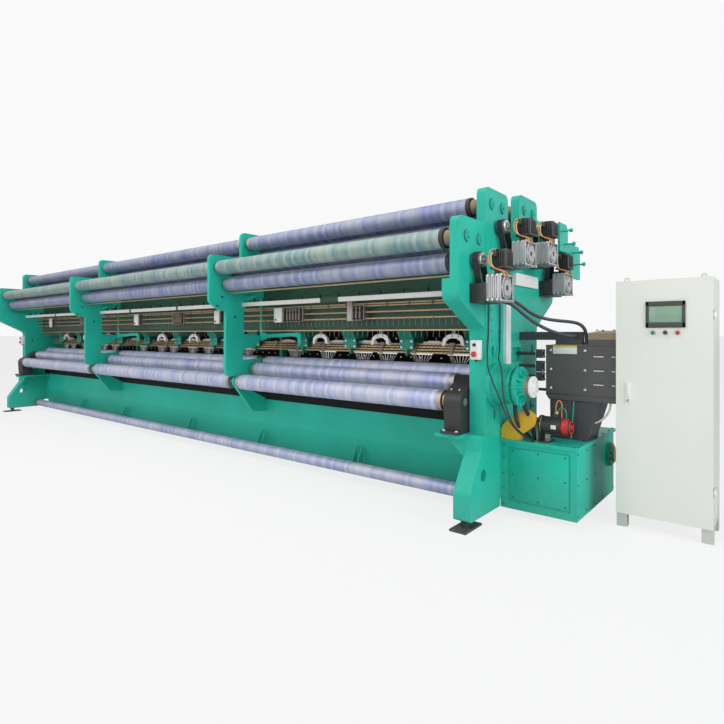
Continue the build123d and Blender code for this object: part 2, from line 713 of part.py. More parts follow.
def guide_bars():
    """Four thin bars, one above another, joined by an end yoke that the push rods move."""
    x0 = -COLUMN_IN_X + BAR_END_GAP
    x1 = COLUMN_IN_X - BAR_END_GAP
    pieces = []
    for index in range(BAR_COUNT):
        y, z = bar_corner(index)
        pieces.append(box(x0, x1, y, y + BAR_T, z, z + BAR_H))
    top_y, top_z = bar_corner(BAR_COUNT - 1)
    high_rod = max(z for z, half_h in COUPLINGS)
    low_rod = min(z for z, half_h in COUPLINGS)
    pieces.append(prism_x([
        (BAR_Y0, top_z + BAR_H),
        (BAR_Y0, BAR_BOTTOM_Z),
        (PUSH_ROD_Y - YOKE_MARGIN, low_rod - YOKE_MARGIN),
        (PUSH_ROD_Y + YOKE_MARGIN, low_rod - YOKE_MARGIN),
        (PUSH_ROD_Y + YOKE_MARGIN, high_rod + YOKE_MARGIN),
        (top_y + BAR_T, top_z + BAR_H),
    ], x1, x1 + YOKE_T))
    return pieces


def push_rods():
    """Three rods from the yoke through the column, each with its coupling block."""
    x0 = COLUMN_IN_X - BAR_END_GAP + YOKE_T
    x1 = PATTERN_X0 - SHOG_RANGE - RUN_GAP
    rods = []
    for z, half_h in COUPLINGS:
        coupling = box(*COUPLING_X, PUSH_ROD_Y - COUPLING_HALF_Y, PUSH_ROD_Y + COUPLING_HALF_Y,
                       z - half_h, z + half_h)
        rods.append(rod_x(PUSH_ROD_Y, z, PUSH_ROD_R, x0, x1) + coupling)
    return rods


def hanger_places():
    """X of each hanger, evenly spread in each bay."""
    places = []
    for x0, x1 in BAYS:
        step = (x1 - x0) / HANGERS_PER_BAY
        for index in range(HANGERS_PER_BAY):
            places.append(x0 + (index + 0.5) * step + HANGER_SHIFT)
    return places


def bar_hangers():
    """Heads under the beam, each with a thin comb plate that the guide bars slide in."""
    hangers = []
    half_w = HANGER_W / 2
    for x in hanger_places():
        head = prism_x([
            (-HANGER_HEAD_Y, BEAM_BOTTOM_Z),
            (-HANGER_HALF_Y, HANGER_HEAD_Z),
            (HANGER_HALF_Y, HANGER_HEAD_Z),
            (HANGER_HEAD_Y, BEAM_BOTTOM_Z),
        ], x - half_w, x + half_w)
        for y in (-HANGER_HALF_Y, HANGER_HALF_Y - HANGER_T):
            head += box(x - half_w, x + half_w, y, y + HANGER_T, HANGER_CHEEK_Z, HANGER_HEAD_Z)
        comb = box(x - HANGER_T / 2, x + HANGER_T / 2, -HANGER_HALF_Y, HANGER_HALF_Y,
                   BAR_BOTTOM_Z - HANGER_DROP, HANGER_HEAD_Z)
        for index in range(BAR_COUNT):
            y, z = bar_corner(index)
            comb -= box(x - HANGER_T, x + HANGER_T, y - SLIDE_CLEAR, y + BAR_T + SLIDE_CLEAR,
                        z - SLIDE_CLEAR, z + BAR_H + SLIDE_CLEAR)
        hangers.append(head + comb)
    return hangers


def rocker_arms():
    """White arched arms under the beam's front edge."""
    y0, y1 = ROCKER_Y
    low, high = ROCKER_Z
    arms = []
    for x0, x1 in BAYS:
        for index in (-1, 0, 1):
            x = (x0 + x1) / 2 + ROCKER_SHIFT + index * ROCKER_PITCH
            ring = Circle(ROCKER_R) - Circle(ROCKER_R - ROCKER_BAND)
            arch = extrude(Plane.XZ.offset(-y1) * Pos(x, high - ROCKER_R) * ring, amount=y1 - y0)
            arch -= box(x - 2 * ROCKER_R, x + 2 * ROCKER_R, y0 - 1, y1 + 1, low - 2 * ROCKER_R, low)
            half = ROCKER_STEM / 2
            arms.append(arch + box(x - half, x + half, y0, y1, high - ROCKER_BAND / 2, BEAM_BOTTOM_Z))
    return arms


def fan_places():
    """X of each finger fan, kept clear of the frames and the hangers over the whole stroke."""
    keep = FAN_TOP_W / 2 + HANGER_T / 2 + SHOG_RANGE + RUN_GAP
    places = []
    for x0, x1 in BAYS:
        count = int((x1 - x0 - FAN_TOP_W) // FINGER_PITCH)
        start = (x0 + x1) / 2 + FAN_SHIFT - (count - 1) * FINGER_PITCH / 2
        for index in range(count):
            x = start + index * FINGER_PITCH
            for hanger_x in hanger_places():
                if abs(x - hanger_x) < keep:
                    x = hanger_x + keep if x >= hanger_x else hanger_x - keep
            places.append(x)
    return places


def finger_fan(x):
    """Round fingers under the lowest guide bar, wide apart at the rail and close at the tip."""
    y = BAR_Y0 + BAR_T / 2
    top = BAR_BOTTOM_Z
    half_t = FAN_RAIL_T / 2
    fan = box(x - FAN_TOP_W / 2, x + FAN_TOP_W / 2, y - half_t, y + half_t, top - FAN_RAIL_H, top)
    inset = FAN_TOP_W / 2 - 2 * FINGER_R
    lean = math.degrees(math.atan2(inset - FAN_TIP_W / 2, FINGER_LENGTH))
    for index in range(FINGERS_PER_FAN):
        share = index / (FINGERS_PER_FAN - 1) * 2 - 1
        start = Pos(x + share * inset, y, top - FAN_RAIL_H / 2)
        finger = Cylinder(FINGER_R, FINGER_LENGTH, align=(Align.CENTER, Align.CENTER, Align.MAX))
        fan += start * Rot(0, share * lean, 0) * finger
    return fan


def finger_fans():
    """Every finger fan, one solid each."""
    return [finger_fan(x) for x in fan_places()]


def lower_trough():
    """The dark channel below the fingers with its tall back wall, one length in each bay."""
    floor_z = TROUGH_BOTTOM_Z + TROUGH_WALL
    outline = [
        (TROUGH_FRONT_Y, TROUGH_TOP_Z),
        (TROUGH_FRONT_Y, TROUGH_BOTTOM_Z),
        (TROUGH_BACK_Y, TROUGH_BOTTOM_Z),
        (TROUGH_BACK_Y, BED_TOP_Z),
        (TROUGH_BACK_Y + TROUGH_WALL, BED_TOP_Z),
        (TROUGH_BACK_Y + TROUGH_WALL, TROUGH_BACK_Z),
        (TROUGH_BACK_Y, TROUGH_BACK_Z),
        (TROUGH_BACK_Y, floor_z),
        (TROUGH_FRONT_Y + TROUGH_WALL, floor_z),
        (TROUGH_FRONT_Y + TROUGH_WALL, TROUGH_TOP_Z),
    ]
    end = COLUMN_IN_X - TROUGH_END_GAP
    return [prism_x(outline, max(x0, -end), min(x1, end)) for x0, x1 in BAYS]


def feed_roller(y, z, kind):
    """A feed roller in three lengths on one stepped shaft."""
    body_end = TAB_IN_X - ROLLER_BODY_GAP
    hub_end = TAB_IN_X - RUN_GAP
    flange_end = body_end + ROLLER_FLANGE_T
    steps = [
        (-END_OUTER_X + 1, -hub_end, ROLLER_JOURNAL_R),
        (-hub_end, -flange_end, ROLLER_HUB_R),
        (-flange_end, -body_end, ROLLER_FLANGE_R),
        (-body_end, MID_FAR_X - MID_T - MID_BODY_GAP, ROLLER_R),
        (MID_FAR_X - MID_T - MID_BODY_GAP, MID_FAR_X - MID_T - RUN_GAP, MID_COLLAR_R),
        (MID_FAR_X - MID_T - RUN_GAP, MID_FAR_X + RUN_GAP, ROLLER_JOURNAL_R),
        (MID_FAR_X + RUN_GAP, MID_FAR_X + MID_BODY_GAP, MID_COLLAR_R),
        (MID_FAR_X + MID_BODY_GAP, MID_NEAR_X - MID_T - MID_BODY_GAP, ROLLER_R),
        (MID_NEAR_X - MID_T - MID_BODY_GAP, MID_NEAR_X - MID_T - RUN_GAP, MID_COLLAR_R),
        (MID_NEAR_X - MID_T - RUN_GAP, MID_NEAR_X + RUN_GAP, ROLLER_JOURNAL_R),
        (MID_NEAR_X + RUN_GAP, MID_NEAR_X + MID_BODY_GAP, MID_COLLAR_R),
        (MID_NEAR_X + MID_BODY_GAP, body_end, ROLLER_R),
        (body_end, flange_end, ROLLER_FLANGE_R),
        (flange_end, hub_end, ROLLER_HUB_R),
    ]
    if kind == "upper":
        steps.append((hub_end, END_OUTER_X - 1, ROLLER_JOURNAL_R))
    else:
        pulley_x = END_OUTER_X + PULLEY_GAP
        steps.append((hub_end, pulley_x, ROLLER_JOURNAL_R))
        steps.append((pulley_x, pulley_x + PULLEY_W, PULLEY_R))
        steps.append((pulley_x + PULLEY_W, pulley_x + PULLEY_W + ROLLER_FLANGE_T, PULLEY_DISC_R))
    return turned_x(steps, y, z)


def takeup_solid(axis, radius, near_body, far_shaft, near_shaft):
    """A take-up roller, from its shaft ends and the end of its body by the drive."""
    y, z = axis
    far_body = -COLUMN_IN_X + CASTING_GAP + FAR_CASTING_X + RUN_GAP
    steps = [
        (far_shaft, far_body, TAKEUP_JOURNAL_R),
        (far_body, MID_FAR_X - MID_T - MID_BODY_GAP, radius),
        (MID_FAR_X - MID_T - MID_BODY_GAP, MID_FAR_X + MID_BODY_GAP, TAKEUP_JOURNAL_R),
        (MID_FAR_X + MID_BODY_GAP, MID_NEAR_X - MID_T - MID_BODY_GAP, radius),
        (MID_NEAR_X - MID_T - MID_BODY_GAP, MID_NEAR_X + MID_BODY_GAP, TAKEUP_JOURNAL_R),
        (MID_NEAR_X + MID_BODY_GAP, near_body, radius),
        (near_body, near_shaft, TAKEUP_JOURNAL_R),
    ]
    return turned_x(steps, y, z)


def cloth_roller():
    """The cloth roller low between the front legs."""
    y, z = CLOTH_AXIS
    body = COLUMN_IN_X - CLOTH_BODY_GAP
    shaft = COLUMN_IN_X + CLOTH_BORE_DEPTH - JOURNAL_CLEAR
    steps = [
        (-shaft, -body, CLOTH_JOURNAL_R),
        (-body, body, CLOTH_R),
        (body, shaft, CLOTH_JOURNAL_R),
    ]
    return turned_x(steps, y, z)


def bearing_cap(y, z, side):
    """A thin round cap with a ring groove, on the outside of an end frame."""
    outer = side * (END_OUTER_X + CAP_T)
    face = side * END_OUTER_X
    cap = rod_x(y, z, CAP_R, min(face, outer), max(face, outer))
    floor = side * (END_OUTER_X + CAP_T / 2)
    start, stop = min(floor, outer), max(floor, outer)
    ring = rod_x(y, z, CAP_GROOVE_R, start, stop) - rod_x(y, z, CAP_GROOVE_R - CAP_GROOVE_W, start, stop)
    return cap - ring


def bearing_caps():
    """Caps over the feed roller bores, except where a pulley takes their place."""
    caps = []
    for name, y, z, kind in feed_axes():
        caps.append(bearing_cap(y, z, -1))
        if kind == "upper":
            caps.append(bearing_cap(y, z, 1))
    return caps


def feed_bracket(y, z):
    """A belt bracket, open at the top for the belt, a little lower than its gearbox."""
    x0, x1 = END_OUTER_X, END_OUTER_X + BRACKET_DEPTH
    y0, y1 = y - BRACKET_W / 2, y + BRACKET_W / 2
    z0 = z - BRACKET_DROP - BRACKET_H / 2
    z1 = z0 + BRACKET_H
    body = box(x0, x1, y0, y1, z0, z1)
    body -= box(x0 + BRACKET_WALL, x1 - BRACKET_WALL, y0 + BRACKET_WALL, y1 - BRACKET_WALL,
                z0 + BRACKET_WALL, z1 + 1)
    body -= rod_x(y, z, DRIVE_SHAFT_R + JOURNAL_CLEAR, x1 - BRACKET_WALL - 1, x1 + 1)
    return body


def feed_gearbox(y, z):
    """A worm gearbox: two flat plates, a ribbed middle, an output flange and a pulley shaft."""
    x0 = END_OUTER_X + BRACKET_DEPTH
    x1 = x0 + GEARBOX_DEPTH
    outline = RectangleRounded(GEARBOX_W, GEARBOX_H, GEARBOX_CORNER_R)
    body = extrude(Plane.YZ.offset(x0) * Pos(y, z) * outline, amount=GEARBOX_DEPTH)
    core = RectangleRounded(GEARBOX_W - 2 * GEARBOX_RIB_DEPTH, GEARBOX_H - 2 * GEARBOX_RIB_DEPTH,
                            GEARBOX_CORNER_R)
    middle = GEARBOX_DEPTH - 2 * GEARBOX_PLATE_T
    groove = (middle - GEARBOX_RIBS * GEARBOX_RIB_T) / (GEARBOX_RIBS + 1)
    for index in range(GEARBOX_RIBS + 1):
        start = x0 + GEARBOX_PLATE_T + index * (groove + GEARBOX_RIB_T)
        body -= extrude(Plane.YZ.offset(start) * Pos(y, z) * (outline - core), amount=groove)
    body += rod_x(y, z, OUTPUT_FLANGE_R, x1, x1 + OUTPUT_FLANGE_T)
    body -= rod_x(y, z, OUTPUT_BORE_R, x1 - OUTPUT_FLANGE_T, x1 + OUTPUT_FLANGE_T + 1)
    pulley_x = END_OUTER_X + PULLEY_GAP
    body += rod_x(y, z, DRIVE_SHAFT_R, pulley_x, x0)
    body += rod_x(y, z, PULLEY_R, pulley_x, pulley_x + PULLEY_W)
    return body


def feed_motor(y, z):
    """An upright servo motor on a neck, with grooves down its four sides."""
    base = z + GEARBOX_H / 2
    neck = extrude(Plane.XY.offset(base) * Pos(MOTOR_X, y) * Rectangle(MOTOR_NECK_SIDE, MOTOR_NECK_SIDE),
                   amount=MOTOR_NECK_H)
    base += MOTOR_NECK_H
    square = RectangleRounded(MOTOR_SIDE, MOTOR_SIDE, MOTOR_CORNER_R)
    flange = extrude(Plane.XY.offset(base) * Pos(MOTOR_X, y) * square, amount=MOTOR_FLANGE_T)
    base += MOTOR_FLANGE_T
    outline = RectangleRounded(MOTOR_BODY_SIDE, MOTOR_BODY_SIDE, MOTOR_CORNER_R)
    half = MOTOR_BODY_SIDE / 2
    pitch = (MOTOR_BODY_SIDE - 2 * MOTOR_CORNER_R) / MOTOR_GROOVES
    for index in range(MOTOR_GROOVES):
        place = (index + 0.5) * pitch - half + MOTOR_CORNER_R
        for side in (-half, half):
            outline -= Pos(place, side) * Rectangle(MOTOR_GROOVE, 2 * MOTOR_GROOVE)
            outline -= Pos(side, place) * Rectangle(2 * MOTOR_GROOVE, MOTOR_GROOVE)
    barrel = extrude(Plane.XY.offset(base) * Pos(MOTOR_X, y) * outline, amount=MOTOR_H)
    cap = extrude(Plane.XY.offset(base + MOTOR_H) * Pos(MOTOR_X, y) * Circle(MOTOR_CAP_R),
                  amount=MOTOR_CAP_T)
    return neck + flange + barrel + cap


def feed_belt(index):
    """A toothed belt, one loop, from the lower roller's pulley down into the bracket."""
    y, z = DRIVE_FEEDS[index]
    lower = [(ry, rz) for name, ry, rz, kind in feed_axes() if kind == "lower"][index]
    radius = PULLEY_R + BELT_GAP
    length = math.hypot(lower[0] - y, lower[1] - z)
    angle = math.degrees(math.atan2(lower[1] - z, lower[0] - y))
    middle = ((lower[0] + y) / 2, (lower[1] + z) / 2)
    outer = SlotCenterToCenter(length, 2 * (radius + BELT_T))
    inner = SlotCenterToCenter(length, 2 * radius)
    start = END_OUTER_X + PULLEY_GAP + (PULLEY_W - BELT_W) / 2
    loop = Plane.YZ.offset(start) * Pos(middle[0], middle[1]) * Rot(0, 0, angle) * (outer - inner)
    return extrude(loop, amount=BELT_W)


def takeup_castings():
    """The near and far castings, with a brass disc on the near one."""
    y, z = TAKEUP_FRONT
    wall = COLUMN_IN_X - CASTING_GAP
    near = takeup_casting(wall, CASTING_X, -1)
    tip = wall - CASTING_X
    near += rod_x(y, z, BRASS_R, tip - BRASS_T, tip)
    far = takeup_casting(-wall, FAR_CASTING_X, 1)
    castings = []
    for casting in (near, far):
        for axis in (TAKEUP_FRONT, TAKEUP_MIDDLE):
            casting -= rod_x(*axis, TAKEUP_JOURNAL_R + JOURNAL_CLEAR, -END_OUTER_X, END_OUTER_X)
        castings.append(casting)
    return castings


def main_reducer():
    """The big reducer on the near column: stepped barrel, finned cover and end hub."""
    y, z = TAKEUP_MIDDLE
    body = lathe_x(REDUCER_LINE, END_OUTER_X, y, z)
    x0, x1 = REDUCER_FIN_X
    r0, r1 = REDUCER_FIN_R
    fin = make_face(Polyline((x0, r0), (x0, r1), (x1, r0), close=True))
    blade = extrude(Plane.XY.offset(-REDUCER_FIN_T / 2) * fin, amount=REDUCER_FIN_T)
    for index in range(REDUCER_FINS):
        body += Pos(END_OUTER_X, y, z) * Rot(index * 360 / REDUCER_FINS, 0, 0) * blade
    return body


def gear_case():
    """The closed gear and oil case at the foot of the near end frame."""
    x0, x1 = END_OUTER_X, END_OUTER_X + CASE_X
    body = box(x0, x1 - CASE_LIP, CASE_FRONT_Y + CASE_LIP, CASE_BACK_Y - CASE_LIP,
               CASE_BOTTOM_Z, CASE_TOP_Z - CASE_LIP_H)
    body += box(x0, x1, CASE_FRONT_Y, CASE_BACK_Y, CASE_TOP_Z - CASE_LIP_H, CASE_TOP_Z)
    margin = CASE_PANEL_MARGIN
    body -= box(x0 + margin, x1 - margin, CASE_FRONT_Y, CASE_FRONT_Y + CASE_LIP + CASE_PANEL_T,
                CASE_BOTTOM_Z + margin, CASE_TOP_Z - CASE_LIP_H - margin / 2)
    eye_x = x1 - CASE_LIP
    for radius, layers in ((CASE_EYE_R, 2), (CASE_EYE_HUB_R, 4)):
        body += rod_x(CASE_EYE_Y, CASE_EYE_Z, radius, eye_x, eye_x + layers * CASE_LIP)
    return body


def pedestal():
    """The tapered stand between the gear case and the pattern drive, with a groove down its front."""
    x0, x1, y0, y1 = PEDESTAL_BASE
    low = Plane.XY.offset(CASE_TOP_Z) * Pos((x0 + x1) / 2, (y0 + y1) / 2) * Rectangle(x1 - x0, y1 - y0)
    top = PEDESTAL_TOP
    centre = Pos((top[0] + top[1]) / 2, (top[2] + top[3]) / 2)
    high = Plane.XY.offset(PATTERN_Z0) * centre * Rectangle(top[1] - top[0], top[3] - top[2])
    groove = prism_x([
        (y0 - 1, CASE_TOP_Z - 1),
        (y0 + PEDESTAL_GROOVE_T, CASE_TOP_Z - 1),
        (top[2] + PEDESTAL_GROOVE_T, PATTERN_Z0 + 1),
        (top[2] - 1, PATTERN_Z0 + 1),
    ], *PEDESTAL_GROOVE)
    return loft([low, high]) - groove


def pattern_box():
    """The pattern drive box with raised louvres and the base of its lid."""
    cut_x, cut_z = PATTERN_CUT
    body = prism_y([
        (PATTERN_X0, PATTERN_Z1),
        (PATTERN_X0, PATTERN_Z0 + cut_z),
        (PATTERN_X0 + cut_x, PATTERN_Z0),
        (PATTERN_X1, PATTERN_Z0),
        (PATTERN_X1, PATTERN_Z1),
    ], PATTERN_Y0, PATTERN_Y1)
    body += box(LID_X0, PATTERN_X1, PATTERN_Y0, PATTERN_Y1, PATTERN_Z1, LID_BASE_Z)
    for x0, x1 in LOUVRES:
        for z in LOUVRE_HEIGHTS:
            body += box(x0, x1, PATTERN_Y0 - LOUVRE_T, PATTERN_Y0, z, z + LOUVRE_H)
    return body


def pattern_lid():
    """The tan cover at the right of the pattern drive and the flat plate beside it."""
    lid = prism_x([
        (PATTERN_Y0, LID_BASE_Z),
        (PATTERN_Y1, LID_BASE_Z),
        (PATTERN_Y1, LID_BACK_Z),
        (PATTERN_Y0, LID_FRONT_Z),
    ], LID_X0, PATTERN_X1)
    plate = box(PATTERN_X0 + TOP_PLATE_IN, TOP_PLATE_X1, PATTERN_Y0, PATTERN_Y1,
                PATTERN_Z1, PATTERN_Z1 + TOP_PLATE_T)
    return [lid, plate]


def tie_beam():
    """The square tie on its block, the round tie below, and the conduits' far glands."""
    half = TIE_W / 2
    top = PATTERN_Z1 + TOP_PLATE_T
    beam = box(END_OUTER_X, TIE_X1, TIE_Y - half, TIE_Y + half, TIE_Z, TIE_Z + TIE_H)
    beam += box(TIE_BLOCK_X0, TIE_X1, TIE_Y - half, TIE_Y + half, top, TIE_Z)
    x, y, z = LOWER_CONDUIT[-1]
    side_gland = extrude(Plane.XZ.offset(-(TIE_Y - half)) * Pos(x, z) * Circle(GLAND_R),
                         amount=TIE_Y - half - y)
    x, y, z = UPPER_CONDUIT[-1]
    top_gland = Pos(x, y, top) * Cylinder(GLAND_R, z - top,
                                          align=(Align.CENTER, Align.CENTER, Align.MIN))
    return [beam + side_gland, rod_x(TIE_Y, LOW_TIE_Z, LOW_TIE_R, END_OUTER_X, PATTERN_X0), top_gland]


def conduit(name, route):
    """A conduit of straight runs joined by tangent arcs, each as large as its runs allow."""
    points = [Vector(*place) for place in route]
    runs = [after - before for before, after in zip(points, points[1:])]
    radii = []
    for before, after in zip(runs, runs[1:]):
        turn = math.radians(before.get_angle(after))
        radii.append(ARC_SHARE * min(before.length, after.length) / math.tan(turn / 2))
    print(name, "radii", [round(radius) for radius in radii])
    path = FilletPolyline(*route, radius=radii)
    tube = sweep(Plane(origin=points[0], z_dir=runs[0]) * Circle(CONDUIT_R), path=path)
    plain = math.pi * CONDUIT_R ** 2 * path.length
    print(name, "volume over section times length", round(tube.volume / plain, 4))
    return tube


def case_motor():
    """The flanged motor held over the gear case on a bent foot, with its plug on top."""
    body = turned_x([
        (CASE_MOTOR_X0, CASE_MOTOR_X0 + CASE_MOTOR_FLANGE_T, CASE_MOTOR_FLANGE_R),
        (CASE_MOTOR_X0 + CASE_MOTOR_FLANGE_T, CASE_MOTOR_CAP_X, CASE_MOTOR_R),
        (CASE_MOTOR_CAP_X, CASE_MOTOR_X1, CASE_MOTOR_CAP_R),
    ], CASE_MOTOR_Y, CASE_MOTOR_Z)
    y0, y1 = CASE_MOTOR_Y - CASE_MOTOR_R, CASE_MOTOR_Y + CASE_MOTOR_R
    x0 = CASE_MOTOR_X0
    body += box(x0, x0 + MOTOR_FOOT_T, y0, y1, CASE_TOP_Z, CASE_MOTOR_Z)
    body += box(x0, x0 + MOTOR_FOOT_L, y0, y1, CASE_TOP_Z, CASE_TOP_Z + MOTOR_FOOT_T)
    plug_x0, plug_x1, plug_top = MOTOR_PLUG
    half = (plug_x1 - plug_x0) / 2
    body += box(plug_x0, plug_x1, CASE_MOTOR_Y - half, CASE_MOTOR_Y + half, CASE_MOTOR_Z, plug_top)
    return body


def belt_guard():
    """The yellow guard on the gear case, wrapped round the two belt wheels inside it."""
    (xa, za), (xb, zb) = GUARD_ENDS
    angle = math.degrees(math.atan2(zb - za, xb - xa))
    outline = SlotCenterToCenter(math.hypot(xb - xa, zb - za), 2 * GUARD_R)
    place = Pos((xa + xb) / 2, (za + zb) / 2) * Rot(0, 0, angle)
    depth = GUARD_Y1 - GUARD_Y0
    guard = extrude(Plane.XZ.offset(-GUARD_Y1) * place * outline, amount=depth)
    guard += box(xa - GUARD_R, xa + GUARD_R, GUARD_Y0, GUARD_Y1, CASE_TOP_Z, za)
    return guard - box(xa - 2 * GUARD_R, xb, GUARD_Y0 - 1, GUARD_Y1 + 1, CASE_TOP_Z - GUARD_R, CASE_TOP_Z)


def side_plates():
    """The stepped adjuster plate stood off the back arm on spacers, with its four screws."""
    x0, x1 = SIDE_PLATE_X, SIDE_PLATE_X + SIDE_PLATE_T
    plate = prism_x(PLATE_LINE, x0, x1)
    for y, z in PLATE_SPACERS:
        plate += rod_x(y, z, SPACER_R, END_OUTER_X, x0)
    tip = x1 + PLATE_SCREW_L
    for y, z in PLATE_SCREWS:
        plate += turned_x([(x1, tip, PLATE_SCREW_R), (tip, tip + PLATE_KNOB_L, PLATE_KNOB_R)], y, z)
    return plate


def estop_boxes():
    """Stop button boxes on the front of both columns."""
    boxes = []
    for side in (-1, 1):
        middle = side * (END_OUTER_X - COLUMN_T / 2)
        y = -COLUMN_HALF_Y
        case = box(middle - ESTOP_W / 2, middle + ESTOP_W / 2, y - ESTOP_D, y, ESTOP_Z0, ESTOP_Z1)
        centre = Pos(middle, (ESTOP_Z0 + ESTOP_Z1) / 2)
        button = Plane.XZ.offset(-y + ESTOP_D) * centre * Circle(ESTOP_BUTTON_R)
        boxes.append(case + extrude(button, amount=ESTOP_BUTTON_R))
    return boxes


def foot_places():
    """X, y and height under the frame of every levelling foot."""
    places = []
    for side in (-1, 1):
        x = side * (END_OUTER_X - COLUMN_T / 2)
        for y in (-1, 1):
            places.append((x, y * (LEG_FOOT_Y - PAD_Y / 4), LEG_BOTTOM_Z))
    for y in (CASE_FRONT_Y + CASE_FOOT_IN_Y + PAD_Y / 2, CASE_BACK_Y - PAD_Y / 2 - CASE_LIP):
        places.append((END_OUTER_X + CASE_X - CASE_FOOT_IN_X, y, CASE_BOTTOM_Z))
    return places


def levelling_feet():
    """Floor pads on screws."""
    feet = []
    for x, y, top in foot_places():
        pad = box(x - PAD_X / 2, x + PAD_X / 2, y - PAD_Y / 2, y + PAD_Y / 2, 0, PAD_T)
        screw = Pos(x, y, PAD_T) * Cylinder(PAD_SCREW_R, top - PAD_T,
                                            align=(Align.CENTER, Align.CENTER, Align.MIN))
        feet.append(pad + screw)
    return feet


def cabinet_body():
    """The control cabinet: an open-fronted case on four legs."""
    x0, x1 = CAB_X0, CAB_X0 + CAB_W
    y0, y1 = CAB_Y0, CAB_Y0 + CAB_D
    z0, z1 = CAB_LEG_H, CAB_LEG_H + CAB_H
    body = box(x0, x1, y0, y1, z0, z1)
    body -= box(x0 + CAB_WALL, x1 - CAB_WALL, y0 - 1, y1 - CAB_WALL, z0 + CAB_WALL, z1 - CAB_WALL)
    for x in (x0, x1 - CAB_LEG_W):
        for y in (y0, y1 - CAB_LEG_W):
            body += box(x, x + CAB_LEG_W, y, y + CAB_LEG_W, 0, z0)
    for lug in hinge_lugs():
        body += lug
    for eye in lifting_eyes():
        body += eye
    return body


def hinge_heights():
    """Z of the door's hinges."""
    return [CAB_LEG_H + HINGE_INSET, CAB_LEG_H + CAB_H - HINGE_INSET]


def hinge_lugs():
    """Fixed hinge halves on the cabinet's right side, each with its pin."""
    lugs = []
    x0, x1 = CAB_X0 + CAB_W, HINGE_X + HINGE_PIN_R + HINGE_WALL
    lug_h = HINGE_H / 2 - DOOR_GAP
    for z in hinge_heights():
        lug = Pos(HINGE_X, HINGE_Y, z) * Cylinder(HINGE_PIN_R, 2 * HINGE_H)
        for middle in (z - HINGE_H + lug_h / 2, z + HINGE_H - lug_h / 2):
            lug += Pos(HINGE_X, HINGE_Y, middle) * Cylinder(HINGE_PIN_R + HINGE_WALL, lug_h)
            lug += box(x0, x1, HINGE_Y, CAB_Y0 + HINGE_H, middle - lug_h / 2, middle + lug_h / 2)
        lugs.append(lug)
    return lugs


def cabinet_door():
    """The cabinet's single door with its hinge knuckles."""
    x0, x1 = CAB_X0 + DOOR_GAP, CAB_X0 + CAB_W - DOOR_GAP
    y1 = CAB_Y0 - DOOR_GAP
    z0, z1 = CAB_LEG_H + DOOR_GAP, CAB_LEG_H + CAB_H - DOOR_GAP
    door = box(x0, x1, y1 - CAB_DOOR_T, y1, z0, z1)
    for z in hinge_heights():
        knuckle = Pos(HINGE_X, HINGE_Y, z) * Cylinder(HINGE_PIN_R + HINGE_WALL, HINGE_H)
        strap = box(x1, HINGE_X, HINGE_Y - HINGE_WALL, HINGE_Y + HINGE_WALL,
                    z - HINGE_H / 2, z + HINGE_H / 2)
        bore = Pos(HINGE_X, HINGE_Y, z) * Cylinder(HINGE_PIN_R + JOURNAL_CLEAR, 2 * HINGE_H)
        door += (knuckle + strap) - bore
    return door


def door_fittings():
    """The screen, three round switches and the lever handle on the door."""
    front = CAB_Y0 - DOOR_GAP - CAB_DOOR_T
    middle = CAB_X0 + CAB_W / 2 + SCREEN_SHIFT
    half_w = SCREEN_W / 2
    pieces = [box(middle - half_w, middle + half_w, front - SCREEN_T, front,
                  SCREEN_Z - SCREEN_H / 2, SCREEN_Z + SCREEN_H / 2)]
    for index in (-1, 0, 1):
        face = Plane.XZ.offset(-front) * Pos(middle + index * SWITCH_PITCH, SCREEN_Z - SWITCH_DROP)
        pieces.append(extrude(face * Circle(SWITCH_R), amount=SWITCH_T))
    x = CAB_X0 + HANDLE_INSET
    pieces.append(box(x - HANDLE_W / 2, x + HANDLE_W / 2, front - HANDLE_T, front,
                      HANDLE_Z - HANDLE_H / 2, HANDLE_Z + HANDLE_H / 2))
    return pieces


def lifting_eyes():
    """Wire eyes on the cabinet's top corners."""
    eyes = []
    top = CAB_LEG_H + CAB_H
    for x in (CAB_X0 + EYE_INSET, CAB_X0 + CAB_W - EYE_INSET):
        for y in (CAB_Y0 + EYE_INSET, CAB_Y0 + CAB_D - EYE_INSET):
            ring = Pos(x, y, top + EYE_R) * Rot(90, 0, 0) * Torus(EYE_R, EYE_WIRE_R)
            stem = Pos(x, y, top) * Cylinder(EYE_WIRE_R, 2 * EYE_WIRE_R,
                                             align=(Align.CENTER, Align.CENTER, Align.MIN))
            above = box(x - EYE_R * 2, x + EYE_R * 2, y - EYE_R, y + EYE_R, top, top + EYE_R * 4)
            eyes.append((ring & above) + stem)
    return eyes


def write(name, pieces):
    """Export one node from a solid or a list of solids."""
    shift = Pos(-ORIGIN_X, -ORIGIN_Y, 0)
    if isinstance(pieces, list):
        shape = Compound(children=[shift * piece for piece in pieces])
    else:
        shape = shift * pieces
    shape.label = name
    export_step(shape, "parts/" + name + ".step")


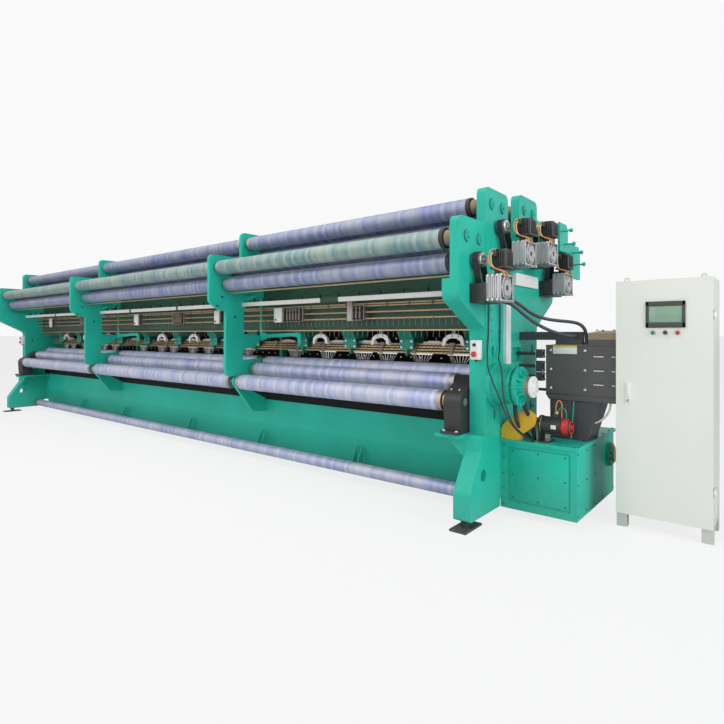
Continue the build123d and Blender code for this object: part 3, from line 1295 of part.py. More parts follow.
def build_all():
    write("near_end_frame", end_frame(1))
    write("far_end_frame", end_frame(-1))
    write("mid_frame_near", mid_frame(MID_NEAR_X))
    write("mid_frame_far", mid_frame(MID_FAR_X))
    write("bed_beam", bed_beam())
    write("upper_beam", upper_beam())
    write("needle_rail", needle_rail())
    write("thread_rods", thread_rods())
    write("rod_carriers", rod_carriers())
    write("trunking", trunking())
    write("wall_ducts", wall_ducts())
    write("guide_bars", guide_bars())
    write("push_rod", push_rods())
    write("bar_hangers", bar_hangers())
    write("rocker_arms", rocker_arms())
    write("finger_fans", finger_fans())
    write("lower_trough", lower_trough())
    write("levelling_feet", levelling_feet())
    write("bearing_caps", bearing_caps())
    for name, y, z, kind in feed_axes():
        write("feed_roller_" + name, feed_roller(y, z, kind))
    drives = range(len(DRIVE_FEEDS))
    write("feed_brackets", [feed_bracket(*DRIVE_FEEDS[i]) for i in drives])
    write("feed_gearboxes", [feed_gearbox(*DRIVE_FEEDS[i]) for i in drives])
    write("feed_motors", [feed_motor(*DRIVE_FEEDS[i]) for i in drives])
    write("feed_belts", [feed_belt(i) for i in drives])
    shaft = END_OUTER_X - 1
    casting_tip = COLUMN_IN_X - CASTING_GAP - CASTING_X
    body_end = casting_tip - BRASS_T - RUN_GAP
    front_shaft = COLUMN_IN_X - CASTING_GAP
    write("takeup_roller_front", takeup_solid(
        TAKEUP_FRONT, TAKEUP_FRONT_R, body_end, -front_shaft, front_shaft))
    write("takeup_roller_middle", takeup_solid(TAKEUP_MIDDLE, TAKEUP_REAR_R, body_end, -shaft, shaft))
    rear_end = COLUMN_IN_X - TAKEUP_BODY_GAP
    write("takeup_roller_rear", takeup_solid(TAKEUP_REAR, TAKEUP_REAR_R, rear_end, -shaft, shaft))
    write("cloth_roller", cloth_roller())
    write("takeup_gearbox", takeup_castings())
    write("main_reducer", main_reducer())
    write("gear_case", gear_case())
    write("pattern_pedestal", pedestal())
    write("pattern_box", pattern_box())
    write("pattern_lid", pattern_lid())
    write("tie_beam", tie_beam())
    write("conduit_upper", conduit("conduit_upper", UPPER_CONDUIT))
    write("conduit_lower", conduit("conduit_lower", LOWER_CONDUIT))
    write("case_motor", case_motor())
    write("belt_guard", belt_guard())
    write("side_plates", side_plates())
    write("estop_boxes", estop_boxes())
    write("cabinet_body", cabinet_body())
    write("cabinet_door", cabinet_door())
    write("door_fittings", door_fittings())


build_all()
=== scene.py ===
"""Finishes a packed warp knitting machine: leads, paint, wraps, bolts and the studio."""

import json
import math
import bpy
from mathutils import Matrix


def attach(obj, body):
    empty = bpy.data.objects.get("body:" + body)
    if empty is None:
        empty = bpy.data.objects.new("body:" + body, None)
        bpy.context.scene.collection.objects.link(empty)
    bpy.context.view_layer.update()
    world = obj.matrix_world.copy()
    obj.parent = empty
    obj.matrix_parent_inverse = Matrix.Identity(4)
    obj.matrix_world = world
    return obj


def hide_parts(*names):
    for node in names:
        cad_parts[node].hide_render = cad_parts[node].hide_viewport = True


bl_info = {
    "name": "Warp Knitting Machine Finish",
    "version": (1, 0, 0),
    "blender": (4, 5, 0),
    "location": "View3D > Sidebar > Machine",
    "description": "Finishes the packed machine and sets the studio round it",
    "category": "Object",
}

import bpy
import numpy as np
from mathutils import Matrix, Vector

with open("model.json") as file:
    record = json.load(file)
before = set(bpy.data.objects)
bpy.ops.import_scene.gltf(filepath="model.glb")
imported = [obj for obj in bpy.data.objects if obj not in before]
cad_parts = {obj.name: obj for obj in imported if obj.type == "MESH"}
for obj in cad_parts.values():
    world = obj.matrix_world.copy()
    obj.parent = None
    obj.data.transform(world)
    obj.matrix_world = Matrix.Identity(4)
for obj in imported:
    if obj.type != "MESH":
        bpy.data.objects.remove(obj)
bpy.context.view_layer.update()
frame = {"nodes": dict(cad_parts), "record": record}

# Pieces are laid out in the drawing's millimetres. This is the drawing point over the final origin.
DRAWING_ORIGIN = np.array((705.5, 66.5, 0.0))

# Places on the drawing, in millimetres, that several pieces share
BAYS = ((-4660.0, -1640.0), (-1600.0, 1800.0), (1840.0, 4660.0))
DRIVES = ((-660.0, 1781.0), (-205.0, 2081.0), (304.0, 2141.0), (717.0, 1908.0))
FEED_GROUPS = (
    ("front", -740.0, 2160.0, 1990.0),
    ("front_high", -326.0, 2465.0, 2295.0),
    ("back_high", 326.0, 2535.0, 2365.0),
    ("back", 740.0, 2320.0, 2150.0),
)
ROLLER_PITCH = 196.0
ROLLER_BODIES = ((-4612.0, -1686.0), (-1554.0, 1754.0), (1886.0, 4612.0))
TAKEUPS = (
    ("takeup_front", -575.0, 920.0, 83.0, ((-4434.0, -1686.0), (-1554.0, 1754.0), (1886.0, 4472.0))),
    ("takeup_middle", -370.0, 1050.0, 75.0, ((-4434.0, -1686.0), (-1554.0, 1754.0), (1886.0, 4472.0))),
    ("takeup_rear", -190.0, 1115.0, 75.0, ((-4434.0, -1686.0), (-1554.0, 1754.0), (1886.0, 4610.0))),
)
DOOR_FRONT_Y = 37.5
MOTOR_X = 4990.0
GEARBOX_FACE_X = 5022.0
REDUCER_AXIS = (-370.0, 1050.0)
HANGERS_PER_BAY = 4
HANGER_SHIFT = 167.0
ROCKERS = (-1, 0, 1)
ROCKER_PITCH = 800.0
ROCKER_SHIFT = 272.0
FAN_PITCH = 400.0
FAN_SHIFT = 68.0
FAN_MARGIN = 240.0
FAN_CLEAR = 149.0
CREASE_DEGREES = 38.0

# Cords, in metres
CONDUIT_DIAMETER = 0.027
WIRE_DIAMETER = 0.009
DRIVE_LEAD_LENGTHS = {"wire_yellow": 0.313, "wire_orange": 0.442}


class Wire:
    """A shader socket that turns sums and comparisons into Math nodes."""

    def __init__(self, finish, socket):
        self.finish = finish
        self.socket = socket

    def maths(self, operation, first, second=None):
        return self.finish.node("ShaderNodeMath", {"operation": operation}, {0: first, 1: second})

    def __add__(self, other):
        return self.maths("ADD", self, other)

    __radd__ = __add__

    def __sub__(self, other):
        return self.maths("SUBTRACT", self, other)

    def __rsub__(self, other):
        return self.maths("SUBTRACT", other, self)

    def __mul__(self, other):
        return self.maths("MULTIPLY", self, other)

    __rmul__ = __mul__

    def __truediv__(self, other):
        return self.maths("DIVIDE", self, other)

    def sine(self):
        return self.maths("SINE", self)

    def part(self):
        return self.maths("FRACT", self)

    def whole(self):
        return self.maths("FLOOR", self)


class Finish:
    """A new material, or the world that is handed in, with its nodes and its shader."""

    def __init__(self, name, owner=None):
        self.material = owner or bpy.data.materials.new(name)
        self.material.use_nodes = True
        self.tree = self.material.node_tree
        self.tree.nodes.clear()

    def node(self, kind, settings=None, inputs=None, output=0):
        """Adds one node: its settings first, then a value or a link for each socket."""
        made = self.tree.nodes.new(kind)
        for key, value in (settings or {}).items():
            if key == "ramp":
                self.set_ramp(made.color_ramp, value)
            else:
                setattr(made, key, value)
        for key, value in (inputs or {}).items():
            if value is None:
                continue
            if isinstance(value, Wire):
                self.tree.links.new(value.socket, made.inputs[key])
            else:
                made.inputs[key].default_value = value
        return Wire(self, made.outputs[output]) if len(made.outputs) else None

    @staticmethod
    def set_ramp(ramp, stops):
        """Stops are (place, colour) pairs, two or more."""
        for index, (place, colour) in enumerate(stops):
            stop = ramp.elements[index] if index < 2 else ramp.elements.new(place)
            stop.position = place
            stop.color = (*colour, 1.0)

    def place(self, scale=(1.0, 1.0, 1.0)):
        """Object coordinates, scaled."""
        coordinates = self.node("ShaderNodeTexCoord", output=3)
        return self.node("ShaderNodeMapping", None, {"Vector": coordinates, "Scale": scale})

    def axis(self, letter):
        """One Object coordinate, in metres."""
        coordinates = self.node("ShaderNodeTexCoord", output=3)
        return self.node("ShaderNodeSeparateXYZ", None, {0: coordinates}, "XYZ".index(letter))

    def noise(self, scale, detail=3.0, stretch=(1.0, 1.0, 1.0), rough=0.5):
        """Soft noise from 0 to 1; scale is in features for each metre."""
        inputs = {"Vector": self.place(stretch), "Scale": scale, "Detail": detail, "Roughness": rough}
        return self.node("ShaderNodeTexNoise", None, inputs)

    def toss(self, number):
        """A different value from 0 to 1 for each whole number."""
        return self.node("ShaderNodeTexWhiteNoise", {"noise_dimensions": "1D"}, {"W": number})

    def between(self, factor, low, high):
        """A colour that goes from low to high with factor."""
        inputs = {"Factor": factor, 6: self.colour(low), 7: self.colour(high)}
        settings = {"data_type": "RGBA", "clamp_factor": True}
        return self.node("ShaderNodeMix", settings, inputs, 2)

    @staticmethod
    def colour(value):
        """Leaves a link as it is and gives three numbers their alpha."""
        return value if isinstance(value, Wire) else (*value, 1.0)

    def relief(self, height, distance, strength=1.0, below=None):
        """A bump of that depth in metres."""
        inputs = {"Height": height, "Distance": distance, "Strength": strength, "Normal": below}
        return self.node("ShaderNodeBump", None, inputs)

    def shade(self, **sockets):
        """Ends the material with a Principled shader; names use underscores for spaces."""
        inputs = {key.replace("_", " "): value for key, value in sockets.items()}
        if "Base Color" in inputs:
            inputs["Base Color"] = self.colour(inputs["Base Color"])
        shader = self.node("ShaderNodeBsdfPrincipled", None, inputs)
        self.node("ShaderNodeOutputMaterial", None, {"Surface": shader})
        return self.material


def dimmed(colour, share):
    """A colour at that share of its strength."""
    return tuple(c * share for c in colour)


def enamel(name, colour, gloss=0.34, mottle=0.10, grime=0.25, shine=0.28):
    """Machine enamel: slight mottle, orange peel, and dust that gathers near the floor."""
    finish = Finish(name)
    cloud = finish.noise(1.7, 4.0)
    speck = finish.noise(38.0, 3.0)
    shade = (cloud * 0.7 + speck * 0.3 - 0.5) * 3.4
    dark = dimmed(colour, 1.0 - mottle)
    light = tuple(min(1.0, c * (1.0 + mottle)) for c in colour)
    base = finish.between(shade + 0.5, dark, light)
    height = finish.axis("Z")
    low = finish.node("ShaderNodeMapRange", None, {"Value": height, 1: 0.0, 2: 0.45, 3: 1.0, 4: 0.0})
    dusty = finish.between(low * speck * grime, base, (0.30, 0.27, 0.22))
    peel = finish.noise(420.0, 2.0)
    return finish.shade(
        Base_Color=dusty,
        Roughness=gloss + speck * 0.14,
        Specular_IOR_Level=shine,
        Normal=finish.relief(peel, 0.00035, 0.3),
    )


def cast_metal(name, colour, rough=0.42, metal=0.85):
    """Sand-cast or blasted metal: fine grain with soft stains."""
    finish = Finish(name)
    grain = finish.noise(700.0, 3.0)
    stain = finish.noise(14.0, 4.0)
    base = finish.between(stain, dimmed(colour, 0.66), colour)
    return finish.shade(
        Base_Color=base,
        Metallic=metal,
        Roughness=rough + stain * 0.16,
        Normal=finish.relief(grain, 0.0005, 0.6),
    )


def worn_casting(name, colour, bare):
    """Thick paint over a rough casting, rubbed through to bare metal in small patches."""
    finish = Finish(name)
    lumps = finish.noise(55.0, 4.0)
    rub = finish.noise(26.0, 5.0, (1.0, 1.0, 1.0), 0.7)
    worn = (rub - 0.63) * 9.0
    return finish.shade(
        Base_Color=finish.between(worn, colour, bare),
        Metallic=finish.node("ShaderNodeClamp", None, {0: worn * 0.6}),
        Roughness=0.42 + lumps * 0.22,
        Normal=finish.relief(lumps, 0.002, 0.7),
    )


def drawn_steel(name, colour, rough=0.26, stretch=(0.02, 1.0, 1.0)):
    """Ground or drawn steel, with its grain along X unless the stretch says otherwise."""
    finish = Finish(name)
    grain = finish.noise(900.0, 2.0, stretch)
    stain = finish.noise(6.0, 4.0)
    base = finish.between(grain * 0.6 + stain * 0.4, dimmed(colour, 0.62), colour)
    return finish.shade(
        Base_Color=base,
        Metallic=1.0,
        Roughness=rough + grain * 0.18,
        Normal=finish.relief(grain, 0.0002, 0.4),
    )


def moulded(name, colour, rough=0.5):
    """Moulded plastic with a fine eggshell texture."""
    finish = Finish(name)
    grain = finish.noise(900.0, 2.0)
    cloud = finish.noise(5.0, 3.0)
    base = finish.between(cloud, dimmed(colour, 0.86), colour)
    return finish.shade(Base_Color=base, Roughness=rough + cloud * 0.1, Specular_IOR_Level=0.35,
                        Normal=finish.relief(grain, 0.0002, 0.4))


def belting(name, colour, pitch=0.014):
    """Rubber belting: cross ribs that show as level lines, with dusty rubbed tops."""
    finish = Finish(name)
    ribs = (finish.axis("Z") * (2.0 * math.pi / pitch)).sine() * 0.5 + 0.5
    dust = finish.noise(60.0, 4.0)
    light = tuple(c * 3.0 + 0.02 for c in colour)
    return finish.shade(
        Base_Color=finish.between(ribs * dust, colour, light),
        Roughness=0.62 + dust * 0.2,
        Specular_IOR_Level=0.3,
        Normal=finish.relief(ribs, 0.0012, 0.7),
    )


def grip_tape(name, cool, warm, turn=0.036):
    """Tape wound ring by ring: each turn has its own shade, an edge that stands up and a fine weave.
    The turns follow Object X, the roller's own axis."""
    finish = Finish(name)
    run = finish.axis("X") / turn
    shade = finish.toss(run.whole())
    step = run.part()
    edge = (0.08 - step) * 12.0
    soil = finish.noise(9.0, 4.0, (0.35, 1.0, 1.0))
    body = finish.between(shade * 0.62 + soil * 0.7 - 0.2, cool, warm)
    lined = finish.between(edge * 0.3, body, dimmed(cool, 0.42))
    weave = finish.noise(1100.0, 2.0)
    tilt = finish.relief(step, 0.0012, 0.8)
    return finish.shade(
        Base_Color=lined,
        Metallic=0.25,
        Roughness=0.34 + shade * 0.12 + soil * 0.1,
        Specular_IOR_Level=0.45,
        Normal=finish.relief(weave, 0.0003, 0.5, tilt),
    )


def lit_glass(name, colour):
    """A display behind glass: a level greenish field with faint rows."""
    finish = Finish(name)
    rows = (finish.axis("Z") * 700.0).sine() * 0.5 + 0.5
    cloud = finish.noise(6.0, 3.0)
    base = finish.between(rows * 0.12 + cloud * 0.5, dimmed(colour, 0.84), colour)
    return finish.shade(Base_Color=base, Roughness=0.12 + cloud * 0.05)


class Shape:
    """Points and faces, worked out as whole arrays; one array of faces for each count of corners."""

    def __init__(self, points, faces):
        self.points = np.asarray(points, float).reshape(-1, 3)
        self.faces = faces

    def __add__(self, other):
        start = len(self.points)
        points = np.vstack((self.points, other.points))
        return Shape(points, self.faces + [face + start for face in other.faces])

    def shifted(self, x=0.0, y=0.0, z=0.0):
        return Shape(self.points + (x, y, z), self.faces)

    def turned(self, axis, degrees, about=(0.0, 0.0, 0.0)):
        turn = np.array(Matrix.Rotation(math.radians(degrees), 3, axis))
        return Shape((self.points - about) @ turn.T + about, self.faces)

    def copies(self, places):
        """One copy at each place, added to its points."""
        places = np.asarray(places, float).reshape(-1, 1, 3)
        size = len(self.points)
        starts = (np.arange(len(places)) * size)[:, None, None]
        points = (self.points[None] + places).reshape(-1, 3)
        return Shape(points, [(face[None] + starts).reshape(-1, face.shape[1]) for face in self.faces])


def skin(points):
    """Joins a (station, corner, 3) grid into a closed tube; each end gets one face."""
    rows, columns = points.shape[:2]
    index = np.arange(rows * columns).reshape(rows, columns)
    after = np.roll(index, -1, axis=1)
    quads = np.stack((index[:-1], after[:-1], after[1:], index[1:]), axis=-1).reshape(-1, 4)
    return Shape(points, [quads, index[:1, ::-1], index[-1:]])


def lathe(line, centre=(0.0, 0.0, 0.0), axis="X", sides=32):
    """A turned form: at share t of a turn, a (distance, radius) point lies at distance along the axis
    and at radius times (cos t, sin t) across it."""
    along = "XYZ".index(axis)
    line = np.asarray(line, float)
    turn = np.arange(sides) * (2.0 * np.pi / sides)
    points = np.empty((len(line), sides, 3))
    points[..., along] = line[:, :1]
    points[..., (along + 1) % 3] = line[:, 1:] * np.cos(turn)
    points[..., (along + 2) % 3] = line[:, 1:] * np.sin(turn)
    return skin(points + centre)


def hoop(centre, radius, wire, axis="X", sides=40, around=8):
    """A ring of round section: the section's circle is carried round the main circle."""
    along = "XYZ".index(axis)
    turn = np.arange(sides + 1) * (2.0 * np.pi / sides)
    part = np.arange(around) * (2.0 * np.pi / around)
    reach = radius + wire * np.cos(part)
    points = np.empty((sides + 1, around, 3))
    points[..., along] = wire * np.sin(part)
    points[..., (along + 1) % 3] = reach * np.cos(turn)[:, None]
    points[..., (along + 2) % 3] = reach * np.sin(turn)[:, None]
    index = np.arange(sides * around).reshape(sides, around)
    down, after = np.roll(index, -1, axis=0), np.roll(index, -1, axis=1)
    both = np.roll(down, -1, axis=1)
    quads = np.stack((index, down, both, after), axis=-1).reshape(-1, 4)
    return Shape(points[:-1] + centre, [quads])


def block(low, high, edge=2.0):
    """A block with rounded edges: a rounded rectangle carried along Z, drawn in by
    edge times (1 - sin) as it nears each end."""
    low, high = np.asarray(low, float), np.asarray(high, float)
    edge = min(edge, 0.49 * float((high - low).min()))
    middle, half = (low + high) / 2, (high - low) / 2
    phase = np.radians((12.0, 50.0, 90.0))
    radius = edge * np.sin(phase)
    depth = edge * (1.0 - np.cos(phase))
    radius = np.concatenate((radius, radius[::-1]))
    level = np.concatenate((-half[2] + depth, half[2] - depth[::-1]))
    corner = np.repeat(np.arange(4), 3)
    angle = np.radians(corner * 90.0 + np.tile((0.0, 45.0, 90.0), 4))
    sign_x = np.where((corner == 0) | (corner == 3), 1.0, -1.0)
    sign_y = np.where(corner < 2, 1.0, -1.0)
    points = np.empty((len(level), 12, 3))
    points[..., 0] = sign_x * (half[0] - edge) + radius[:, None] * np.cos(angle)
    points[..., 1] = sign_y * (half[1] - edge) + radius[:, None] * np.sin(angle)
    points[..., 2] = level[:, None]
    return skin(points + middle)


def drawn(outline, low, high, axis="X", edge=1.5):
    """A flat outline carried along an axis, a little smaller at both faces for the rounded edge.
    The outline's two numbers are the next two axes in the order X, Y, Z, X."""
    along = "XYZ".index(axis)
    outline = np.asarray(outline, float)
    middle = outline.mean(axis=0)
    reach = np.abs(outline - middle).max()
    stations = np.array((low, low + edge, high - edge, high))
    shrink = np.array((1.0 - edge / reach, 1.0, 1.0, 1.0 - edge / reach))
    points = np.empty((4, len(outline), 3))
    points[..., along] = stations[:, None]
    points[..., (along + 1) % 3] = middle[0] + (outline[:, 0] - middle[0]) * shrink[:, None]
    points[..., (along + 2) % 3] = middle[1] + (outline[:, 1] - middle[1]) * shrink[:, None]
    return skin(points)


def folded(line, low, high, thickness):
    """Bent sheet: a line of points across X, doubled at the sheet's thickness along the mean of
    its neighbours' normals, and carried along X."""
    line = np.asarray(line, float)
    run = np.gradient(line, axis=0)
    normal = np.stack((-run[:, 1], run[:, 0]), axis=1)
    normal /= np.linalg.norm(normal, axis=1, keepdims=True)
    outline = np.vstack((line, (line + normal * thickness)[::-1]))
    points = np.empty((2, len(outline), 3))
    points[..., 0] = np.array((low, high))[:, None]
    points[..., 1:] = outline
    index = np.arange(len(outline) * 2).reshape(2, -1)
    after = np.roll(index, -1, axis=1)
    quads = np.stack((index[0], after[0], after[1], index[1]), axis=-1)
    count = len(line)
    near = np.arange(count - 1)
    far = 2 * count - 1 - near
    caps = np.stack((near, far, far - 1, near + 1), axis=-1)
    return Shape(points, [quads, caps, caps[:, ::-1] + 2 * count])


def tube(path, radius, sides=8):
    """A circle carried along a path: each station lies across the path's own direction there.
    The radius is one number, or one for each station."""
    path = np.asarray(path, float)
    run = np.gradient(path, axis=0)
    run /= np.linalg.norm(run, axis=1, keepdims=True)
    spread = np.ptp(path, axis=0)
    steady = np.eye(3)[int(np.argmin(spread))]
    across = np.cross(steady, run)
    across /= np.linalg.norm(across, axis=1, keepdims=True)
    other = np.cross(run, across)
    turn = np.arange(sides) * (2.0 * np.pi / sides)
    radius = np.broadcast_to(np.asarray(radius, float), len(path))[:, None, None]
    ring = across[:, None] * np.cos(turn)[None, :, None] + other[:, None] * np.sin(turn)[None, :, None]
    return skin(path[:, None] + ring * radius)


def eased(points, count):
    """A smooth line through the points: the Catmull-Rom cubic of each four neighbours."""
    points = np.asarray(points, float)
    padded = np.vstack((2 * points[0] - points[1], points, 2 * points[-1] - points[-2]))
    place = np.linspace(0.0, len(points) - 1.0, count)
    start = np.minimum(place.astype(int), len(points) - 2)
    t = (place - start)[:, None]
    a, b, c, d = (padded[start + k] for k in range(4))
    return 0.5 * (2 * b + (c - a) * t + (2 * a - 5 * b + 4 * c - d) * t ** 2
                  + (3 * b - 3 * c + d - a) * t ** 3)


def facing(shape, axis, side):
    """Turns a shape that points along the axis to point the other way, where side is negative."""
    return shape if side > 0 else shape.turned("X" if axis == "Z" else "Z", 180.0)


def hex_bolts(places, axis, across, side=1):
    """Hexagon heads on washers: six sides with the top drawn in."""
    size, height = across / 2, across * 0.42
    washer = lathe([(0, size * 1.35), (size * 0.16, size * 1.35)], axis=axis, sides=14)
    head = lathe([(size * 0.16, size), (height * 0.85, size), (height, size * 0.84)], axis=axis, sides=6)
    return facing(washer + head, axis, side).copies(places)


def screws(places, axis, radius, side=1):
    """Round heads: a low dome with a sunk socket."""
    dome = radius * np.array(((0, 1), (0.45, 1), (0.8, 0.72), (0.8, 0.4), (0.45, 0.38)))
    return facing(lathe(dome, axis=axis, sides=12), axis, side).copies(places)


def ring_places(centre, radius, count, axis="X", start=0.0):
    """Evenly spread places on a circle across the axis."""
    along = "XYZ".index(axis)
    turn = np.radians(start) + np.arange(count) * (2.0 * np.pi / count)
    places = np.tile(np.asarray(centre, float), (count, 1))
    places[:, (along + 1) % 3] += radius * np.cos(turn)
    places[:, (along + 2) % 3] += radius * np.sin(turn)
    return places


def along_x(xs, y=0.0, z=0.0):
    """A row of places at those X values."""
    return np.stack((xs, xs * 0 + y, xs * 0 + z), 1)


def joined(shapes):
    """All the shapes as one, in one step."""
    starts = np.cumsum([0] + [len(shape.points) for shape in shapes])
    faces = [face + start for shape, start in zip(shapes, starts) for face in shape.faces]
    return Shape(np.vstack([shape.points for shape in shapes]), faces)


def put(name, shape, finish, slot=None, body="machine"):
    """Makes the object from a shape in drawing millimetres, and puts it on its body. The slot, the
    finish's usual one unless another is named, is worked out but not used."""
    slot = slot or SLOTS.get(finish, finish)
    mesh = bpy.data.meshes.new(name)
    points = ((shape.points - DRAWING_ORIGIN) / 1000.0).astype(np.float32)
    corners = np.concatenate([face.ravel() for face in shape.faces]).astype(np.int32)
    sizes = np.concatenate([np.full(len(face), face.shape[1]) for face in shape.faces])
    mesh.vertices.add(len(points))
    mesh.vertices.foreach_set("co", points.ravel())
    mesh.loops.add(len(corners))
    mesh.loops.foreach_set("vertex_index", corners)
    mesh.polygons.add(len(sizes))
    mesh.polygons.foreach_set("loop_start", (np.cumsum(sizes) - sizes).astype(np.int32))
    mesh.update(calc_edges=True)
    mesh.validate()
    mesh.polygons.foreach_set("use_smooth", np.ones(len(mesh.polygons), bool))
    mesh.set_sharp_from_angle(angle=math.radians(CREASE_DEGREES))
    mesh.materials.append(finish_of(finish))
    piece = bpy.data.objects.new(name, mesh)
    bpy.context.scene.collection.objects.link(piece)
    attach(piece, body)
    return piece


def feed_axes():
    """Name, y and z of every feed roller."""
    axes = []
    for group, y, upper, lower in FEED_GROUPS:
        axes.append((group + "_a", y - ROLLER_PITCH / 2, upper))
        axes.append((group + "_b", y + ROLLER_PITCH / 2, upper))
        axes.append((group + "_c", y, lower))
    return axes


FINISHES = {}


def finish_of(key):
    """A finish by its key, made when it is first asked for."""
    if key not in FINISHES:
        maker, values = FINISH_LIST[key]
        FINISHES[key] = maker(key.replace("_", " "), *values)
    return FINISHES[key]


FINISH_LIST = {
    "teal_paint": (enamel, ((0.018, 0.445, 0.33), 0.34, 0.10, 0.25, 0.22)),
    "green_paint": (enamel, ((0.030, 0.085, 0.055), 0.38, 0.2)),
    "hanger_paint": (enamel, ((0.02, 0.27, 0.20), 0.36)),
    "dark_paint": (enamel, ((0.052, 0.053, 0.058), 0.42, 0.1, 0.2, 0.4)),
    "pattern_paint": (enamel, ((0.098, 0.092, 0.094), 0.42, 0.1, 0.2, 0.4)),
    "white_paint": (enamel, ((0.77, 0.755, 0.71), 0.36, 0.02, 0.1, 0.4)),
    # The cabinet's white paint made darker for its side: painted shade
    "cabinet_side": (enamel, ((0.58, 0.57, 0.535), 0.36, 0.02, 0.1, 0.4)),
    "yellow_paint": (enamel, ((0.72, 0.40, 0.03), 0.36)),
    "cast_alu": (cast_metal, ((0.60, 0.60, 0.61),)),
    "bright_steel": (drawn_steel, ((0.70, 0.70, 0.71),)),
    "roller_steel": (drawn_steel, ((0.46, 0.42, 0.41), 0.46, (1.0, 0.05, 0.05))),
    "tan_steel": (cast_metal, ((0.56, 0.40, 0.22), 0.34, 0.45)),
    "grip_cool": (grip_tape, ((0.14, 0.19, 0.39), (0.42, 0.41, 0.44))),
    "grip_green": (grip_tape, ((0.09, 0.22, 0.25), (0.40, 0.43, 0.36))),
    "grip_pale": (grip_tape, ((0.29, 0.34, 0.60), (0.66, 0.63, 0.66))),
    "lid_tan": (enamel, ((0.33, 0.25, 0.16), 0.4)),
    "belt_rubber": (belting, ((0.022, 0.022, 0.024),)),
    "black_plastic": (moulded, ((0.03, 0.03, 0.032),)),
    "white_plastic": (moulded, ((0.84, 0.83, 0.80),)),
    "arm_white": (enamel, ((0.80, 0.78, 0.75), 0.4, 0.06)),
    "shadow_black": (moulded, ((0.005, 0.005, 0.005), 0.85)),
    "trim_teal": (enamel, ((0.012, 0.17, 0.12),)),
    "dull_steel": (cast_metal, ((0.30, 0.25, 0.20), 0.45, 0.5)),
    "motor_black": (enamel, ((0.028, 0.026, 0.026), 0.36, 0.2, 0.2, 0.5)),
    "casting_black": (worn_casting, ((0.022, 0.021, 0.022), (0.16, 0.13, 0.10))),
    "conduit_grey": (moulded, ((0.045, 0.052, 0.062), 0.4)),
    "brass": (cast_metal, ((0.62, 0.40, 0.17), 0.3)),
    "tan_hub": (cast_metal, ((0.36, 0.26, 0.17), 0.45, 0.5)),
    "zinc": (drawn_steel, ((0.74, 0.74, 0.75), 0.24, (1.0, 1.0, 1.0))),
    "dark_bolt": (cast_metal, ((0.10, 0.10, 0.10), 0.4, 0.7)),
    "red_plastic": (moulded, ((0.62, 0.03, 0.025), 0.4)),
    "green_plastic": (moulded, ((0.02, 0.30, 0.19), 0.4)),
    "plate_yellow": (moulded, ((0.75, 0.62, 0.14),)),
    "wire_yellow": (moulded, ((0.66, 0.58, 0.22), 0.42)),
    "wire_orange": (moulded, ((0.72, 0.26, 0.09), 0.42)),
    "screen_glass": (lit_glass, ((0.27, 0.42, 0.31),)),
    "bezel": (moulded, ((0.062, 0.066, 0.058), 0.4)),
}

# The usual slot of each finish that isn't named after its slot
SLOTS = {
    "zinc": "bright_steel",
    "dull_steel": "bright_steel",
    "dark_bolt": "dark_paint",
    "shadow_black": "dark_paint",
    "brass": "tan_steel",
    "tan_hub": "tan_steel",
    "arm_white": "white_paint",
    "trim_teal": "teal_paint",
    "red_plastic": "yellow_paint",
    "plate_yellow": "yellow_paint",
    "screen_glass": "black_plastic",
    "bezel": "black_plastic",
    "grip_cool": "grip_wrap",
    "grip_green": "grip_wrap",
    "grip_pale": "grip_wrap",
}


class StageSettings(bpy.types.PropertyGroup):
    """Where the camera stands and how bright the studio is."""

    eye: bpy.props.FloatVectorProperty(
        name="Eye", description="Where the camera stands", size=3, subtype="TRANSLATION", unit="LENGTH",
        default=(5.891, -4.3225, 1.45))
    heading: bpy.props.FloatProperty(
        name="Heading", description="Angle of the view from +Y towards -X", subtype="ANGLE",
        default=math.radians(39.0))
    lens: bpy.props.FloatProperty(
        name="Lens", description="Focal length in millimetres", default=26.105, min=5.0)
    drop: bpy.props.FloatProperty(
        name="Drop", description="Share of the frame that the picture is shifted down", default=-0.0387)
    floor: bpy.props.FloatVectorProperty(
        name="Floor", description="Colour of the floor", subtype="COLOR", default=(0.86, 0.86, 0.86))
    world: bpy.props.FloatProperty(
        name="World", description="Strength of the light from all sides", default=0.30, min=0.0)


